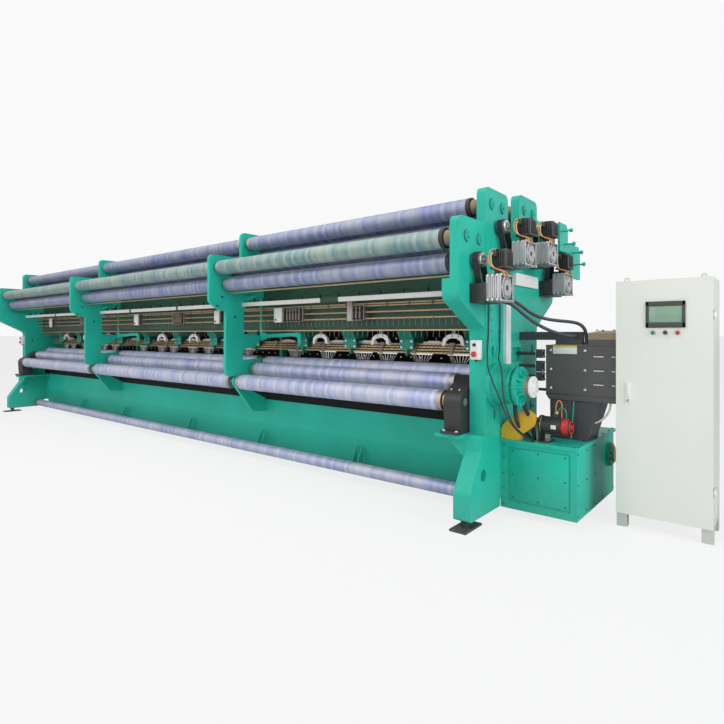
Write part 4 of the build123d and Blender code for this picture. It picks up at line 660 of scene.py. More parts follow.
class MACHINE_OT_stage(bpy.types.Operator):
    """Set the floor, the lamps, the world and the camera"""

    bl_idname = "machine.stage"
    bl_label = "Studio"

    def execute(self, context):
        settings = context.scene.machine_stage
        self.stand_camera(settings)
        self.lay_floor(settings)
        self.light_world(settings)
        self.hang_lamps()
        context.scene.view_settings.view_transform = "Standard"
        return {"FINISHED"}

    def lay_floor(self, settings):
        """A wide plane that shows the camera a near-white and still takes shadows."""
        mesh = bpy.data.meshes.new("floor")
        reach = 400.0
        corners = [(-reach, -reach, 0), (reach, -reach, 0), (reach, reach, 0), (-reach, reach, 0)]
        mesh.from_pydata(corners, [], [(0, 1, 2, 3)])
        floor = bpy.data.objects.new("floor", mesh)
        bpy.context.scene.collection.objects.link(floor)
        finish = Finish("floor")
        diffuse = finish.node("ShaderNodeBsdfDiffuse", None, {"Color": (*settings.floor, 1.0)})
        bright = finish.node("ShaderNodeEmission", None,
                             {"Color": (0.95, 0.95, 0.95, 1.0), "Strength": 1.0})
        seen = finish.node("ShaderNodeLightPath")
        share = seen * 0.84
        mixed = finish.node("ShaderNodeMixShader", None, {0: share, 1: diffuse, 2: bright})
        finish.node("ShaderNodeOutputMaterial", None, {"Surface": mixed})
        mesh.materials.append(finish.material)

    def light_world(self, settings):
        """Even light on the machine, and near-white where the camera or a reflection looks past it."""
        world = bpy.data.worlds.new("studio")
        bpy.context.scene.world = world
        finish = Finish("studio", world)
        seen = finish.node("ShaderNodeLightPath")
        mirrored = finish.node("ShaderNodeLightPath", output="Is Glossy Ray")
        dim = finish.node("ShaderNodeBackground", None,
                          {"Color": (0.93, 0.96, 1.0, 1.0), "Strength": settings.world})
        clear = finish.node("ShaderNodeBackground", None,
                            {"Color": (0.95, 0.95, 0.95, 1.0), "Strength": 1.0})
        share = seen.maths("MAXIMUM", seen, mirrored)
        mixed = finish.node("ShaderNodeMixShader", None, {0: share, 1: dim, 2: clear})
        finish.node("ShaderNodeOutputWorld", None, {"Surface": mixed})

    def hang_lamps(self):
        """Four soft lamps: above, right of the machine, and right and left of the camera."""
        lamps = [
            ("over", (0.0, -3.0, 7.0), (0.0, 0.0, 1.0), 9.0, 440.0, (1.0, 0.99, 0.96)),
            ("right", (13.5, -2.0, 4.5), (2.5, 0.0, 1.2), 6.0, 600.0, (0.88, 0.97, 1.0)),
            ("front_right", (9.5, -7.5, 2.6), (4.0, 0.0, 0.9), 5.0, 130.0, (0.95, 0.98, 1.0)),
            ("left", (-3.0, -10.0, 3.4), (-1.0, 0.0, 1.2), 7.0, 220.0, (1.0, 0.99, 0.97)),
        ]
        for name, where, aim, size, power, colour in lamps:
            data = bpy.data.lights.new(name, "AREA")
            data.shape = "SQUARE"
            data.size = size
            data.energy = power
            data.color = colour
            lamp = bpy.data.objects.new(name, data)
            lamp.location = where
            lamp.rotation_euler = (Vector(aim) - Vector(where)).to_track_quat("-Z", "Y").to_euler()
            bpy.context.scene.collection.objects.link(lamp)

    def stand_camera(self, settings):
        """A level camera, shifted down as the photograph was cropped."""
        data = bpy.data.cameras.new("camera")
        data.lens = settings.lens
        data.sensor_width = 36.0
        data.shift_y = settings.drop
        camera = bpy.data.objects.new("camera", data)
        camera.location = settings.eye
        camera.rotation_euler = (math.pi / 2, 0.0, settings.heading)
        bpy.context.scene.collection.objects.link(camera)
        bpy.context.scene.camera = camera


def run_cord(name, route, diameter, finish, replaced=None):
    """One open spline, with the route's points in metres as its control points, and its section."""
    data = bpy.data.curves.new(name, "CURVE")
    data.dimensions = "3D"
    data.resolution_u = 8
    data.bevel_depth = diameter / 2
    data.bevel_resolution = 4 if diameter > 0.008 else 2
    data.use_fill_caps = True
    spline = data.splines.new("NURBS")
    spline.points.add(len(route) - 1)
    spline.points.foreach_set("co", np.hstack((np.asarray(route), np.ones((len(route), 1)))).ravel())
    spline.order_u = 3
    spline.use_endpoint_u = True
    data.materials.append(finish_of(finish))
    piece = bpy.data.objects.new(name, data)
    bpy.context.scene.collection.objects.link(piece)
    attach(piece, "machine")
    if replaced:
        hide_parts(replaced)
    return piece


class MACHINE_OT_conduits(bpy.types.Operator):
    """Run the two conduits from the near frame to the pattern drive"""

    bl_idname = "machine.conduits"
    bl_label = "Conduits"

    def execute(self, context):
        upper = [(4.1145, -0.3565, 1.725), (4.1895, -0.3565, 1.725), (4.2495, -0.3165, 1.685),
                 (4.3045, -0.2265, 1.612), (4.3745, -0.1265, 1.572), (4.4595, -0.0465, 1.556),
                 (4.5395, 0.0215, 1.548), (4.5945, 0.0585, 1.532), (4.6295, 0.0785, 1.492),
                 (4.6395, 0.0835, 1.440), (4.6395, 0.0835, 1.384)]
        lower = [(4.1145, -0.4285, 1.704), (4.1895, -0.4285, 1.704), (4.2445, -0.3885, 1.662),
                 (4.2945, -0.3115, 1.590), (4.3595, -0.2265, 1.524), (4.4245, -0.1515, 1.478),
                 (4.4845, -0.1025, 1.452), (4.5345, -0.0765, 1.438), (4.5665, -0.0465, 1.432),
                 (4.5795, -0.0045, 1.430), (4.5795, 0.0385, 1.430)]
        for name, route, length in (("upper", upper, 0.86), ("lower", lower, 0.77)):
            run_cord(name + "_conduit", route, CONDUIT_DIAMETER, "conduit_grey",
                     "conduit_" + name)
        return {"FINISHED"}


LEADS = (
    # name, diameter, length, finish, slot, stiffness, route in drawing millimetres
    ("column_cable_a", 0.011, 1.32, "black_plastic", "black_plastic", "medium",
     ((4812, -498, 1700), (4812, -500, 1560), (4812, -512, 1404), (4812, -530, 1289), (4828, -556, 1190),
      (4866, -562, 1103), (4930, -562, 957), (4993, -556, 814), (5036, -480, 715), (5060, -340, 650),
      (5066, -250, 626), (5066, -235, 606))),
    ("column_cable_b", 0.011, 1.44, "black_plastic", "black_plastic", "medium",
     ((4812, -299, 1698), (4812, -299, 1540), (4812, -299, 1380), (4826, -340, 1300), (4870, -460, 1262),
      (4928, -548, 1225), (4950, -566, 1150), (4954, -566, 996), (4985, -560, 880), (5008, -500, 770),
      (5030, -390, 690), (5048, -260, 640), (5050, -225, 606))),
    ("drain_hose_a", 0.032, 0.41, "black_plastic", "black_plastic", "stiff",
     ((4930, -288, 952), (4932, -290, 860), (4944, -276, 740), (4975, -200, 665), (4998, -156, 640),
      (5000, -152, 604))),
    ("drain_hose_b", 0.032, 0.355, "black_plastic", "black_plastic", "stiff",
     ((5010, -300, 925), (5016, -290, 870), (5030, -236, 800), (5040, -196, 720), (5040, -172, 660),
      (5040, -160, 604))),
    ("case_hose", 0.016, 0.254, "white_plastic", "white_plastic", "stiff",
     ((5378, 130, 740), (5420, 130, 745), (5475, 132, 778), (5512, 134, 830), (5528, 136, 880),
      (5530, 136, 914))),
    ("motor_lead_orange", WIRE_DIAMETER, 0.258, "wire_orange", "black_plastic", "medium",
     ((5203, -150, 830), (5203, -150, 872), (5212, -152, 926), (5236, -152, 940), (5252, -150, 905),
      (5248, -150, 850), (5250, -150, 800))),
    ("motor_lead_green", WIRE_DIAMETER, 0.168, "green_plastic", "teal_paint", "medium",
     ((5220, -150, 830), (5222, -150, 862), (5246, -156, 886), (5276, -158, 876), (5286, -154, 840),
      (5284, -150, 800))),
)

# Each worm drive's two leads, from the motor to the gearbox, as steps from the drive's centre
DRIVE_LEADS = (
    ("wire_yellow", ((-22, -30, 262), (-30, -70, 262), (-36, -104, 240), (-36, -112, 190),
                     (-24, -104, 146), (4, -88, 128), (34, -74, 118), (48, -62, 96), (44, -56, 72),
                     (28, -52, 62))),
    ("wire_orange", ((-22, 20, 270), (-34, -40, 283), (-44, -96, 272), (-50, -124, 224),
                     (-46, -120, 168), (-10, -106, 134), (40, -86, 122), (60, -40, 104), (56, -12, 78),
                     (28, -6, 70))),
)


def lead(name, diameter, length, finish, slot, stiffness, route):
    """A scene-only cord from its route in drawing millimetres."""
    places = (np.asarray(route, float) - DRAWING_ORIGIN) / 1000.0
    metres = [tuple(round(float(value), 4) for value in place) for place in places]
    return run_cord(name, metres, diameter, finish)


class MACHINE_OT_leads(bpy.types.Operator):
    """Hang the cables and hoses round the reducer and the worm drives' leads"""

    bl_idname = "machine.leads"
    bl_label = "Cables and hoses"

    def execute(self, context):
        for values in LEADS:
            lead(*values)
        for number, (y, z) in enumerate(DRIVES):
            for finish, steps in DRIVE_LEADS:
                route = np.asarray(steps, float) + (MOTOR_X, y, z)
                lead(f"{finish}_{number + 1}", WIRE_DIAMETER, DRIVE_LEAD_LENGTHS[finish], finish,
                     "black_plastic", "medium", route)
        return {"FINISHED"}


class MACHINE_OT_wraps(bpy.types.Operator):
    """Wind grip tape round every roller, with end discs and tan hubs"""

    bl_idname = "machine.wraps"
    bl_label = "Wrapped rollers"

    @staticmethod
    def sleeve(x0, x1, y, z, radius, inset=44.0):
        """A thin turned sleeve whose two ends roll down to the roller; short of the mid frames it stops
        an inset from the roller's end, and at the discs it runs on to them."""
        low = x0 + (inset if x0 > -4600 else 2.0)
        high = x1 - (inset if x1 < 4600 else 2.0)
        stations = np.linspace(low + 4, high - 4, 12)
        line = [(low, radius - 0.6), (low + 1.5, radius + 0.7)]
        line += [(x, radius + 0.9) for x in stations]
        line += [(high - 1.5, radius + 0.7), (high, radius - 0.6)]
        return lathe(line, (0, y, z), sides=48)

    def execute(self, context):
        for name, y, z in feed_axes():
            body = name + "_roller"
            tape = "grip_green" if name == "front_a" else "grip_cool"
            shape = joined([self.sleeve(x0, x1, y, z, 75.0) for x0, x1 in ROLLER_BODIES])
            put(name + "_tape", shape, tape, body=body)
            disc = [(4604, 74), (4606, 77), (4638, 77), (4641, 74), (4641, 60)]
            hub = [(4641, 60), (4660, 60), (4664, 57), (4690, 55), (4696, 50), (4712, 49), (4714, 40)]
            near = lathe(disc, (0, y, z), sides=40)
            tan = lathe(hub, (0, y, z), sides=36)
            far = near.turned("Z", 180.0, (0, y, z))
            far_tan = tan.turned("Z", 180.0, (0, y, z))
            put(name + "_end_discs", near + far, "black_plastic", body=body)
            put(name + "_hubs", tan + far_tan, "tan_hub", body=body)
        for name, y, z, radius, spans in TAKEUPS:
            shape = joined([self.sleeve(x0, x1, y, z, radius, 46.0) for x0, x1 in spans])
            put(name + "_tape", shape, "grip_pale", body=name)
        put("cloth_roller_tape", self.sleeve(-4520, 4520, -320, 140, 58, 10), "grip_pale", body="cloth")
        return {"FINISHED"}


class MACHINE_OT_drives(bpy.types.Operator):
    """Dress the four worm drives: cover rims, output flanges, fins, plugs and pulley discs"""

    bl_idname = "machine.drives"
    bl_label = "Worm drives"

    def execute(self, context):
        metal, dark, bolts = [], [], []
        for y, z in DRIVES:
            metal.append(self.cover(y, z))
            dark.append(self.shadows(y, z))
            bolts.append(self.bolts(y, z))
        put("gearbox_covers", joined(metal), "cast_alu")
        # Dark plates of painted shade in the covers' sunk fields
        put("gearbox_recess_shade", joined(dark), "dark_bolt", "motor_black")
        put("gearbox_bolts", joined(bolts), "zinc")
        fins = joined([self.fins(y, z) for y, z in DRIVES])
        put("motor_fins", fins, "motor_black")
        for name, y, z, low in FEED_GROUPS:
            cap = [(4876, 47), (4878, 51), (4885, 51), (4888, 46), (4888, 22), (4885, 20)]
            shape = lathe(cap, (0, y, low), sides=36)
            shape = shape + hex_bolts([(4886, y, low)], "X", 24)
            shape = shape + screws(ring_places((4887, y, low), 36, 6), "X", 4.5)
            put(name + "_pulley_disc", shape, "zinc", body=name + "_c_roller")
        return {"FINISHED"}

    @staticmethod
    def cover(y, z):
        """A raised rim, a ring and eight ribs that run out from it like spokes."""
        x = GEARBOX_FACE_X
        bars = ((-112, -97, -98, 97), (98, -97, 112, 97), (-112, 84, 112, 97), (-112, -97, 112, -84))
        rim = joined([block((x - 1, y + y0, z + z0), (x + 9, y + y1, z + z1), 4)
                      for y0, z0, y1, z1 in bars])
        ring = lathe([(x - 1, 82), (x + 6, 81), (x + 8, 78), (x + 8, 72), (x + 4, 69), (x - 1, 69)],
                     (0, y, z), sides=40)
        spoke = block((x - 1, y + 60, z - 4), (x + 6, y + 96, z + 4), 2)
        spokes = [spoke.turned("X", 45.0 * k, (x, y, z)) for k in range(8)]
        return rim + ring + joined(spokes)

    @staticmethod
    def shadows(y, z):
        """Painted shade: a dark plate in the sunk field behind the ribs."""
        return block((5021, y - 98, z - 84), (5024.5, y + 98, z + 84), 1)

    @staticmethod
    def bolts(y, z):
        """Corner bolts on the cover and small ones round the output flange."""
        corners = [(5030, y + a, z + b) for a in (-104, 104) for b in (-90, 90)]
        ring = ring_places((5031, y, z), 50, 8, start=22.5)
        side = [(4935 + 36 * k, y - 118, z + b) for k in range(3) for b in (-86, 86)]
        return (hex_bolts(corners, "X", 17) + hex_bolts(ring, "X", 11)
                + hex_bolts(side, "Y", 13, -1))

    @staticmethod
    def fins(y, z):
        """Cooling fins on the motor, a cable plug and a round cover."""
        base = z + 152
        places = np.linspace(-46, 46, 6)
        across = [block((MOTOR_X + 58, y + p - 4, base + 6), (MOTOR_X + 64, y + p + 4, base + 106), 2)
                  for p in places]
        along = [block((MOTOR_X + p - 4, y + low, base + 6),
                       (MOTOR_X + p + 4, y + low + 6, base + 106), 2)
                 for low in (-64, 58) for p in places]
        plug = block((MOTOR_X - 40, y - 90, base + 70), (MOTOR_X - 4, y - 57, base + 104), 5)
        neck = lathe([(base + 104, 12), (base + 116, 12), (base + 118, 9)],
                     (MOTOR_X - 22, y - 72, 0), "Z", 12)
        lid = lathe([(base + 128, 40), (base + 131, 38), (base + 131, 12), (base + 134, 10)],
                    (MOTOR_X, y, 0), "Z", 24)
        return joined(across + along) + plug + neck + lid


class MACHINE_OT_reducer(bpy.types.Operator):
    """Dress the big reducer, the case motor and the take-up castings"""

    bl_idname = "machine.reducer"
    bl_label = "Main drive"

    def execute(self, context):
        y, z = REDUCER_AXIS
        collar = [(5068, 75), (5070, 77), (5096, 77), (5098, 74)]
        put("reducer_collar", lathe(collar, (0, y, z), sides=36), "tan_hub")
        disc = [(5098, 78), (5101, 81), (5118, 81), (5122, 77), (5122, 30), (5125, 26), (5125, 8)]
        put("reducer_end", lathe(disc, (0, y, z), sides=40), "arm_white")
        studs = joined([tube([(4958, a, b), (4975, a, b), (5000, a, b), (5022, a, b)], 5.5)
                        for _, a, b in ring_places((0, y, z), 138, 10)])
        put("reducer_studs", studs, "teal_paint")
        heads = (hex_bolts(ring_places((5020, y, z), 138, 10), "X", 17)
                 + hex_bolts(ring_places((4835, y, z), 161, 12), "X", 20))
        put("reducer_bolts", heads, "teal_paint")
        small = hex_bolts(ring_places((5122, y, z), 58, 8), "X", 12)
        put("reducer_end_bolts", small, "zinc")
        bands = hoop((4896, y, z), 147.5, 3.0, sides=48) + hoop((4928, y, z), 142.5, 3.0, sides=48)
        put("reducer_bands", bands, "teal_paint")
        self.case_motor()
        self.castings()
        return {"FINISHED"}

    @staticmethod
    def case_motor():
        """Red fan cap with rings, a bare plate, ribs along the barrel and a gland on the plug."""
        y, z = -150.0, 738.0
        line = [(5258, 58), (5260, 61), (5276, 62), (5279, 59.5), (5300, 59.5), (5318, 56), (5325, 48),
                (5325, 40), (5322, 38), (5322, 22), (5326, 18)]
        put("case_motor_cap", lathe(line, (0, y, z), sides=40), "red_plastic", "motor_black")
        rib = block((5104, y - 4, z + 62), (5250, y + 4, z + 70), 2)
        ribs = [rib.turned("X", 20.0 * k, (5104, y, z)) for k in range(18)]
        put("case_motor_ribs", joined(ribs), "motor_black")
        put("case_motor_plate", block((5188, y - 74, z - 16), (5226, y - 69, z + 14), 1.5),
            "white_plastic")
        gland = lathe([(826, 17), (842, 17), (844, 14), (852, 13)], (5210, y, 0), "Z", 16)
        rings = hoop((5104, y, z), 72, 3.0)
        rings = rings + hex_bolts(ring_places((5100, y, z), 66, 6), "X", 9)
        put("case_motor_brass", gland + rings, "brass")

    @staticmethod
    def castings():
        """Brass face and base bolts of the take-up castings, and their oil cups."""
        y, z = -575.0, 920.0
        face = [(4478.5, 40), (4478.5, 60), (4481, 64), (4502, 64)]
        brass = lathe(face, (0, y, z), sides=40)
        cup = [(985, 13), (1004, 13), (1008, 9), (1018, 8), (1020, 5)]
        for x in (4528, 4600):
            brass = brass + lathe(cup, (x, y, 0), "Z", 14)
        put("casting_brass", brass, "brass")
        base = [(x, a, 699.0) for x in (4520, 4630, -4620, -4470) for a in (-682, -468)]
        put("casting_bolts", hex_bolts(base, "Z", 24), "zinc")


class MACHINE_OT_case(bpy.types.Operator):
    """Dress the gear case: front plate, bolts, lid bolts and the round window"""

    bl_idname = "machine.gear_case_trim"
    bl_label = "Gear case"

    def execute(self, context):
        put("case_front_plate", block((4872, -258.5, 131), (5337, -252, 543), 2), "teal_paint")
        front = [(x, -258.5, z) for x in (4900, 5104, 5309) for z in (152, 338, 522)]
        edge = [(4829, -261, z) for z in (90, 215, 340, 465, 560)]
        lid = [(x, a, 610) for x in np.linspace(4830, 5385, 6) for a in (-258, 780)]
        lid += [(5392, a, 610) for a in np.linspace(-120, 640, 5)]
        side = [(5395, a, z) for a in (-235, -20, 200, 420, 770) for z in (96, 330, 556)]
        heads = (screws(front + edge, "Y", 6.5, -1) + screws(lid, "Z", 8)
                 + screws([p for p in side if not (p[1] > 400 and p[2] > 300)], "X", 7))
        put("case_screws", heads, "trim_teal")
        y, z = 610.0, 415.0
        flange = [(5422, 97), (5428, 96), (5430, 92), (5430, 64), (5424, 62)]
        put("case_window_flange", lathe(flange, (0, y, z), sides=40), "dark_bolt")
        brass = (hex_bolts(ring_places((5430, y, z), 79, 10), "X", 17)
                 + lathe([(5450, 62), (5456, 60), (5457, 55), (5453, 50)], (0, y, z), sides=36))
        put("case_window_brass", brass, "brass")
        glass = [(5450, 50), (5455, 49), (5456, 20), (5456.5, 6)]
        put("case_window_glass", lathe(glass, (0, y, z), sides=36), "tan_hub")
        return {"FINISHED"}


class MACHINE_OT_pattern(bpy.types.Operator):
    """Dress the pattern drive: screws, bare plate, white louvre lips as painted highlights, folds and
    couplings
    """

    bl_idname = "machine.pattern_trim"
    bl_label = "Pattern drive"

    def execute(self, context):
        y = 110.0
        heads = [(x, y, z) for x in (5076, 5346) for z in (1317, 1160, 1005)]
        back = [(x, 450, z) for x in (5076, 5346, 5540) for z in (1317, 1160, 1005)]
        side = [(5574, a, z) for a in (150, 410) for z in (1317, 1160, 1005)]
        light = (screws(heads, "Y", 10, -1) + screws(back, "Y", 10)
                 + screws(side, "X", 10))
        put("pattern_screws", light, "white_plastic")
        # White lips on the dark box: painted highlights where the louvres' raised tops catch the light
        lips = [block((x0, y - 8, z - 3), (x1, y + 0.5, z + 5), 2)
                for x0, x1 in ((5410, 5487), (5545, 5570)) for z in (1270, 1158, 1048)]
        put("pattern_louvre_highlights", joined(lips), "white_paint")
        put("pattern_plate", block((5092, y - 3, 1288), (5284, y + 0.5, 1342), 1), "white_plastic")
        put("pattern_plate_band", block((5092, y - 3.5, 1339), (5284, y + 0.5, 1357), 1), "plate_yellow")
        folds = (block((5032.5, y - 2, 955), (5575.5, y + 1, 961), 1)
                 + block((5572, y - 2, 955), (5575.5, 452, 961), 1)
                 + block((5034, y - 3, 1352), (5574, y + 1, 1360), 1))
        put("pattern_folds", folds, "dark_bolt")
        lid = (hex_bolts([(5412, 200, 1477), (5412, 380, 1477), (5540, 200, 1477)], "Z", 18)
               + hex_bolts([(5262, 150, 1359), (5160, 150, 1359)], "Z", 14))
        put("pattern_lid_bolts", lid, "dark_bolt")
        strip = tube([(5262, 31, 614), (5261, 60, 714), (5260, 88, 812), (5259, 115, 905)], 5.0)
        put("pedestal_edge_strip", strip, "teal_paint")
        foot = [(x, a, 610) for x in (5112, 5370) for a in (14, 346)]
        put("pedestal_bolts", hex_bolts(foot, "Z", 20), "dark_bolt")
        couplings = ((1285, 36), (1179, 45), (1093, 35))
        grub = [block((4948, 98, z - h + 4), (4952, 162, z + h - 4), 1.5) for z, h in couplings]
        caps = [(5008, 130 + a, z + b) for z, h in couplings for a in (-20, 20)
                for b in (-h + 12, h - 12)]
        shape = joined(grub) + hex_bolts(caps, "X", 12)
        put("coupling_bolts", shape, "zinc", body="guide")
        return {"FINISHED"}


class MACHINE_OT_stops(bpy.types.Operator):
    """Fit red mushroom heads, selectors and glands to the stop boxes"""

    bl_idname = "machine.stop_buttons"
    bl_label = "Stop boxes"

    def execute(self, context):
        red, black, rim = [], [], []
        for x in (-4730.0, 4730.0):
            head = [(-608, 12), (-607, 17), (-602, 21), (-597, 22), (-593, 19), (-591, 14), (-581, 12)]
            red.append(lathe(head, (x + 2, 0, 1294), "Y", 28))
            knob = [(-598, 9), (-597, 12), (-590, 13), (-581, 13)]
            black.append(lathe(knob, (x + 2, 0, 1366), "Y", 18))
            black.append(block((x, -606, 1357), (x + 5, -596, 1375), 2))
            black.append(lathe([(1236, 9), (1242, 12), (1254, 13)], (x + 2, -554, 0), "Z", 14))
            rim.append(block((x - 36, -583, 1252), (x + 40, -523, 1403), 8))
            rim.append(block((x - 32, -585, 1258), (x + 36, -580, 1397), 3))
        put("stop_heads", joined(red), "red_plastic")
        put("stop_selectors", joined(black), "black_plastic")
        covers = put("stop_covers", joined(rim), "white_plastic")
        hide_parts("estop_boxes")
        return {"FINISHED"}


class MACHINE_OT_beam(bpy.types.Operator):
    """Cover the top beam with its hood and hang hooks, clamps and carrier parts along it"""

    bl_idname = "machine.beam_trim"
    bl_label = "Beam"

    carriers = ((-4010, -3864), (-2700, -2453), (-900, -754), (120, 367), (1076, 1198), (2183, 2329),
                (2361, 2608), (3286, 3437))

    def execute(self, context):
        hood = [(-204, 1866), (-204, 1990), (-180, 2010), (180, 2010), (204, 1990), (204, 1866)]
        hoods = [drawn(hood, x0 + 2, x1 - 2) for x0, x1 in BAYS]
        seams = [block((x - 4, -206.5, 1868), (x + 4, -203, 1988), 1)
                 for x0, x1 in BAYS for x in np.linspace(x0, x1, 6)[1:-1]]
        put("beam_hood", joined(hoods + seams), "green_paint")
        self.hooks()
        self.clamps()
        self.carrier_parts()
        self.beam_bolts()
        return {"FINISHED"}

    @staticmethod
    def places(pitch, clear=60.0):
        """X of every part at that pitch in the three bays."""
        return np.concatenate([np.arange(x0 + clear, x1 - clear, pitch) for x0, x1 in BAYS])

    def hooks(self):
        """Thin wire hooks from the lowest rod, and a lighter row under the rail."""
        path = eased([(0, -309, 1604), (0, -300, 1610), (0, -291, 1602), (0, -296, 1570),
                      (0, -298, 1540), (0, -290, 1526), (0, -280, 1534)], 13)
        xs = self.places(62.0)
        put("thread_hooks", tube(path, 2.6, 5).copies(along_x(xs)), "dull_steel")
        path = eased([(0, -245, 1482), (0, -246, 1462), (0, -250, 1440), (0, -246, 1424),
                      (0, -240, 1430)], 9)
        eye = tube(path, 2.6, 5)
        put("rail_needles", eye.copies(along_x(xs + 31)), "dull_steel")

    def clamps(self):
        """Split clamps on the rods and small posts on the trunking."""
        xs = self.places(248.0, 120.0)
        clamp = block((-9, -316, 1710), (9, -290, 1752), 3) + block((-5, -322, 1722), (5, -314, 1738), 2)
        low = block((-9, -314, 1586), (9, -288, 1612), 3)
        put("rod_clamps", (clamp + low).copies(along_x(xs)), "dull_steel")
        post = (block((-8, -512, 1799), (8, -488, 1832), 3)
                + lathe([(1830, 5), (1842, 5), (1844, 8), (1850, 8), (1852, 5)], (0, -500, 0), "Z", 10))
        put("trunking_posts", post.copies(along_x(xs + 70)), "black_plastic")
        spans = [(x, x + 40) for x in (-3300, -2400, -700, 500)] + [(3043, 3278)]
        sleeves = [block((x0, -523.5, 1756.5), (x1, -476.5, 1803.5), 3) for x0, x1 in spans]
        put("trunking_sleeves", joined(sleeves), "green_paint")

    def carrier_parts(self):
        """White covers with a red knob on the narrow blocks, and rows of slides on the wide ones."""
        covers, knobs, steel, dark = [], [], [], []
        for x0, x1 in self.carriers:
            end = x0 + 4
            if x1 - x0 < 200 and x0 != 3286:
                end = x1 - 24
                covers.append(block((x0 - 6, -352, 1577), (end, -323, 1737), 7))
                knobs.append(lathe([(-362, 8), (-360, 12), (-352, 13)], (x0 + 26, 0, 1606), "Y", 16))
            count = max(1, int((x1 - end) // 46))
            for k in range(count):
                x = end + 24 + 46 * k
                dark.append(block((x - 17, -340, 1590), (x + 17, -323, 1724), 3))
                steel.append(lathe([(1600, 7), (1604, 11), (1640, 11), (1644, 7), (1690, 7), (1694, 12),
                                    (1712, 12), (1716, 6)], (x, -350, 0), "Z", 12))
                steel.append(block((x - 14, -352, 1650), (x + 14, -338, 1662), 2))
                steel.append(block((x - 20, -346, 1576), (x + 12, -330, 1588), 2))
        put("carrier_covers", joined(covers), "white_plastic")
        put("carrier_knobs", joined(knobs), "red_plastic")
        put("carrier_slides", joined(steel), "dull_steel")
        put("carrier_backs", joined(dark), "motor_black")

    def beam_bolts(self):
        """Rows of bolts down both faces of the beam and along its rail."""
        xs = self.places(250.0, 90.0)
        front, back = (np.vstack((along_x(xs, y, 1812), along_x(xs, y, 1512))) for y in (-230, 230))
        head = hex_bolts(front, "Y", 18, -1) + hex_bolts(back, "Y", 18)
        put("beam_bolts", head, "dark_bolt", "green_paint")


def rocker_places():
    """X of each rocker arm."""
    return [(x0 + x1) / 2 + ROCKER_SHIFT + k * ROCKER_PITCH for x0, x1 in BAYS for k in ROCKERS]


def fan_places(hangers):
    """X of each finger fan: evenly spread in a bay, and pushed clear of a hanger plate."""
    places = []
    for x0, x1 in BAYS:
        count = int((x1 - x0 - FAN_MARGIN) // FAN_PITCH)
        start = (x0 + x1) / 2 + FAN_SHIFT - (count - 1) * FAN_PITCH / 2
        for x in start + FAN_PITCH * np.arange(count):
            gap = x - hangers[np.argmin(np.abs(x - hangers))]
            push = FAN_CLEAR if gap >= 0 else -FAN_CLEAR
            places.append(x if abs(gap) >= FAN_CLEAR else x - gap + push)
    return np.array(places)


